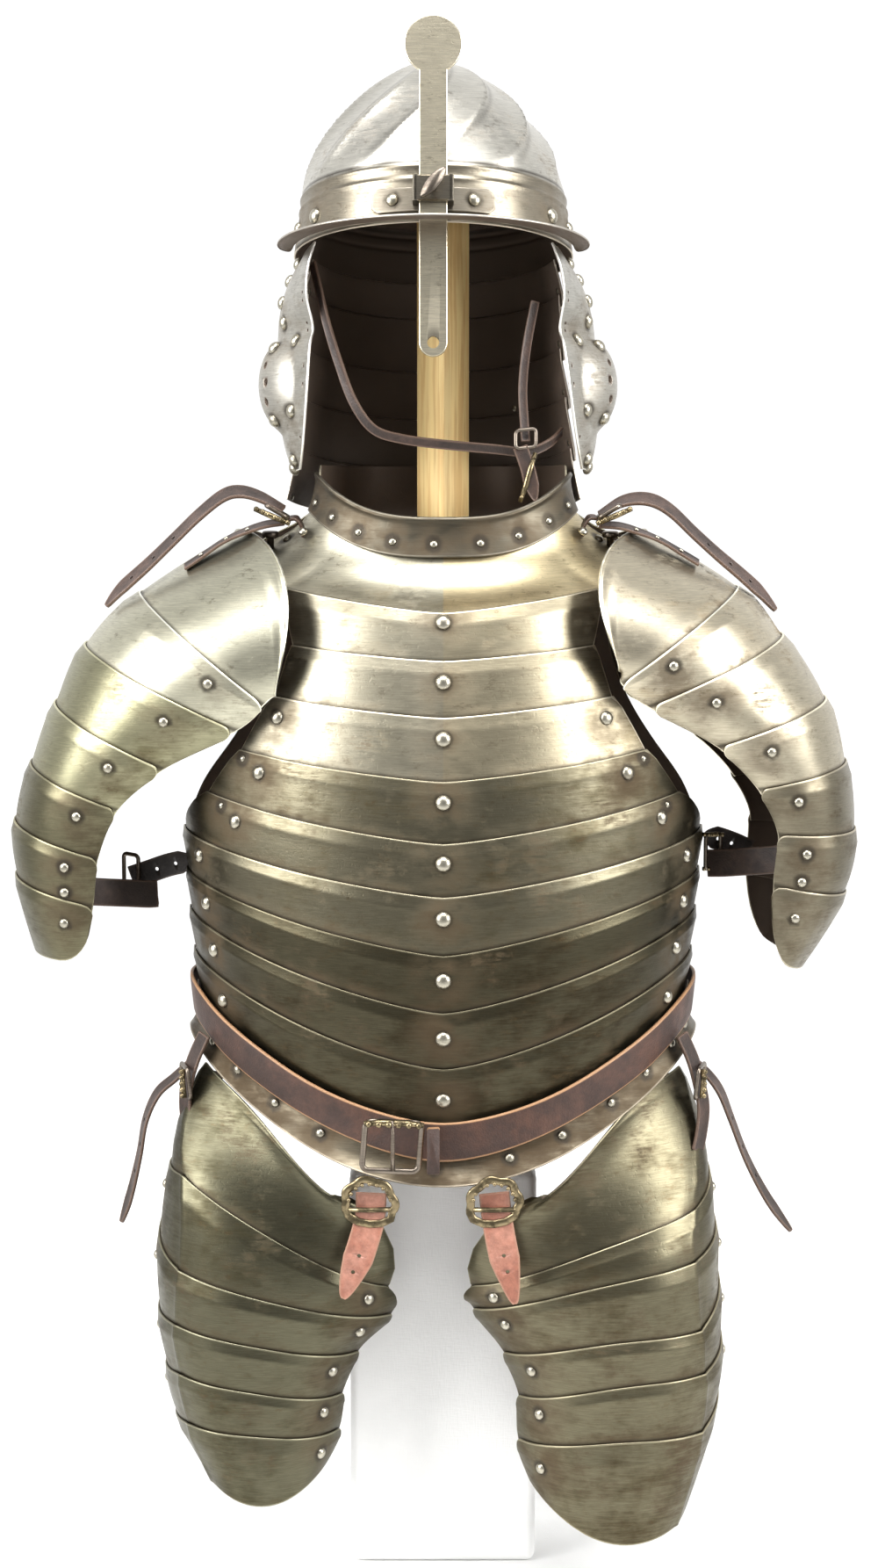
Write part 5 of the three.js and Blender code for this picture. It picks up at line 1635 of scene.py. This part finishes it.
# ---------------------------------------------------------------- stand
# A square pine post, set corner-on, carries a turned block inside the skull and a yoke under
# the shoulders. It stands in a boxed column covered with white cloth on a white board.
STAND = {"board": (380, 280, 22), "column": (140, 116), "column_top": 326, "post": 28,
         "post_top": 1058, "yoke": (250, 34, 24), "yoke_z": 766, "block": (82, 98, 92)}


def timber(name, size, middle, turn, soft, segments=3):
    """A planed block with eased edges, turned about its height."""
    shape = bmesh.new()
    bmesh.ops.create_cube(shape, size=1.0)
    bmesh.ops.scale(shape, vec=np.array(size) / 1000, verts=shape.verts)
    bmesh.ops.bevel(shape, geom=list(shape.edges), offset=soft / 1000, segments=segments,
                    profile=0.5, affect="EDGES")
    c, w = math.cos(math.radians(turn)), math.sin(math.radians(turn))
    for corner in shape.verts:
        x, y, z = corner.co
        corner.co = (c * x - w * y + middle[0] / 1000, w * x + c * y + middle[1] / 1000,
                     z + middle[2] / 1000)
    mesh = bpy.data.meshes.new(name)
    shape.to_mesh(mesh)
    shape.free()
    mesh.polygons.foreach_set("use_smooth", [True] * len(mesh.polygons))
    mesh.set_sharp_from_angle(angle=math.radians(35))
    return link_new(name, mesh)


def pine(name, light=(1.0, 0.74, 0.33), dark=(0.80, 0.50, 0.19), stretch=(1, 1, 0.045)):
    """Planed pine: close straight grain with darker late wood and a few resin streaks."""
    finish = new_finish(name)
    where = own_place(finish.node_tree)
    bands = noise(where, 330, 3, 0.5, stretch).band(0.44, 0.62)
    color = tint(bands * 0.75, (*light, 1), (*dark, 1))
    tone = noise(where, 60, 3, 0.5, stretch).band(0.3, 0.7, 0.82, 1.08)
    return dress(finish, 0.2, 0.0004, bands, {
        "Base Color": tint(1.0, color, tone, "MULTIPLY"), "Roughness": 0.55})


def white_cloth(name):
    """Plain white cotton, plain weave at about one thread to 0.8 mm."""
    finish = new_finish(name)
    where = own_place(finish.node_tree)
    soil = noise(where, 14, 4).band(0.35, 0.7)
    threads = (noise(where, 900, 1, 0.5, (1, 1, 0.15)) + noise(where, 900, 1, 0.5, (0.15, 0.15, 1)))
    return dress(finish, 0.4, 0.0004, threads, {
        "Base Color": tint(soil, (0.94, 0.94, 0.93, 1), (0.88, 0.88, 0.87, 1)), "Roughness": 0.9})


upright = pine("planed_pine")
crosswise = pine("planed_pine_across", stretch=(0.045, 1, 1))
cotton = white_cloth("white_cotton")
paint = white_cloth("white_paint")
post_tall = STAND["post_top"] - STAND["column_top"]
for piece, finish in (
    (timber("stand_post", (STAND["post"], STAND["post"], post_tall),
            (0, 0, STAND["post_top"] - post_tall / 2), 45, 1.2), upright),
    (timber("stand_yoke", STAND["yoke"], (0, 0, STAND["yoke_z"]), 0, 3), crosswise),
    (timber("stand_column", (*STAND["column"], STAND["column_top"] - STAND["board"][2]),
            (0, 0, (STAND["column_top"] + STAND["board"][2]) / 2), 0, 7, 5), cotton),
    (timber("stand_board", STAND["board"], (0, 0, STAND["board"][2] / 2), 0, 2.5), paint),
):
    piece.data.materials.append(finish)
    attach(piece, "root")
    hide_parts("stand")


def block_point(s, t):
    wide, deep, tall = STAND["block"]
    angle, up = mix(-180, 180, s), np.clip(90 * (1 - t / 0.96), 0, 90)
    shrink = np.where(t > 0.96, 1 - (t - 0.96) / 0.04 * 0.985, 1)
    return point(wide * cosine(up) * sine(angle) * shrink,
                 -deep * cosine(up) * cosine(angle) * shrink, SKULL["band"] + tall * sine(up))


block = forge("stand_head_block", worn(block_point), np.linspace(0, 1, 73),
              np.concatenate([np.linspace(0.01, 0.94, 22), [0.955, 0.96, 0.965, 0.98, 1.0]]),
              thick=3, closed=True, capped=True)
# The block inside the skull is painted near black, as the shade inside the helmet.
block.data.materials.append(pine("pine_dark_as_helmet_shade", (0.10, 0.06, 0.035), (0.05, 0.03, 0.018)))
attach(block, "root")


# ---------------------------------------------------------------- rivets
# Steel rivets with hammered domed heads, driven through the plates from outside. One tree sets
# a head on every noted place, turned to the plate and scaled to the rivet.


def rivet_tree():
    """Heads on points: 'size' is each head's radius in metres, 'facing' its direction."""
    tree = bpy.data.node_groups.new("rivet_heads", "GeometryNodeTree")
    for name, way, kind in (("Geometry", "INPUT", "Geometry"), ("Rise", "INPUT", "Float"),
                            ("Around", "INPUT", "Int"), ("Finish", "INPUT", "Material"),
                            ("Geometry", "OUTPUT", "Geometry")):
        tree.interface.new_socket(name, in_out=way, socket_type="NodeSocket" + kind)
    make = lambda kind, inputs=(), **settings: add_node(tree, kind, inputs, **settings).outputs
    given = make("NodeGroupInput")
    head = make("GeometryNodeMeshUVSphere", {"Rings": 9, "Radius": 1.0,
                                             "Segments": given["Around"]})
    size = make("GeometryNodeInputNamedAttribute", {"Name": "size"},
                data_type="FLOAT")["Attribute"]
    facing = make("GeometryNodeInputNamedAttribute", {"Name": "facing"},
                  data_type="FLOAT_VECTOR")["Attribute"]
    turn = make("FunctionNodeAlignRotationToVector", {"Vector": facing}, axis="Z")
    tall = make("ShaderNodeMath", {0: size, 1: given["Rise"]}, operation="MULTIPLY")
    scale = make("ShaderNodeCombineXYZ", {"X": size, "Y": size, "Z": tall[0]})
    place = make("GeometryNodeInstanceOnPoints", {
        "Points": given["Geometry"], "Instance": head["Mesh"], "Rotation": turn["Rotation"],
        "Scale": scale["Vector"]})
    real = make("GeometryNodeRealizeInstances", {"Geometry": place["Instances"]})
    soft = make("GeometryNodeSetShadeSmooth", {"Geometry": real["Geometry"]})
    painted = make("GeometryNodeSetMaterial", {"Geometry": soft["Geometry"],
                                               "Material": given["Finish"]})
    add_node(tree, "NodeGroupOutput", {"Geometry": painted["Geometry"]})
    return tree


RIVET_HEADS = rivet_tree()


def set_heads(name, spots, finish, rise=0.68, around=18):
    """Bake heads on (place, facing, radius) spots in millimetres into one plain mesh object."""
    cloud = bpy.data.meshes.new(name + "_places")
    cloud.from_pydata([tuple(place / 1000) for place, _, _ in spots], [], [])
    facing = cloud.attributes.new("facing", "FLOAT_VECTOR", "POINT")
    facing.data.foreach_set("vector", np.concatenate([way for _, way, _ in spots]))
    keep(cloud, "size", [radius / 1000 for _, _, radius in spots])
    holder = link_new(name + "_places", cloud)
    modifier = holder.modifiers.new("heads", "NODES")
    modifier.node_group = RIVET_HEADS
    sockets = {item.name: item.identifier for item in RIVET_HEADS.interface.items_tree
               if item.in_out == "INPUT"}
    for key, value in (("Rise", rise), ("Around", around), ("Finish", finish)):
        modifier[sockets[key]] = value
    bpy.context.view_layer.update()
    made = holder.evaluated_get(bpy.context.evaluated_depsgraph_get())
    mesh = bpy.data.meshes.new_from_object(made)
    mesh.name = name
    bpy.data.objects.remove(holder)
    return plain_masks(link_new(name, mesh))


rivet_steel = steel("rivet_steel", (0.46, 0.43, 0.35), (0.22, 0.19, 0.14), 0.5, 0.5, 0.0)
for body in sorted({spot[3] for spot in RIVETS}):
    heads = set_heads(f"rivets_{body}", [spot[:3] for spot in RIVETS if spot[3] == body],
                      rivet_steel)
    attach(heads, body)

beads = set_heads("buckle_beads", BEADS, brass, rise=1.0, around=12)
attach(beads, "root")
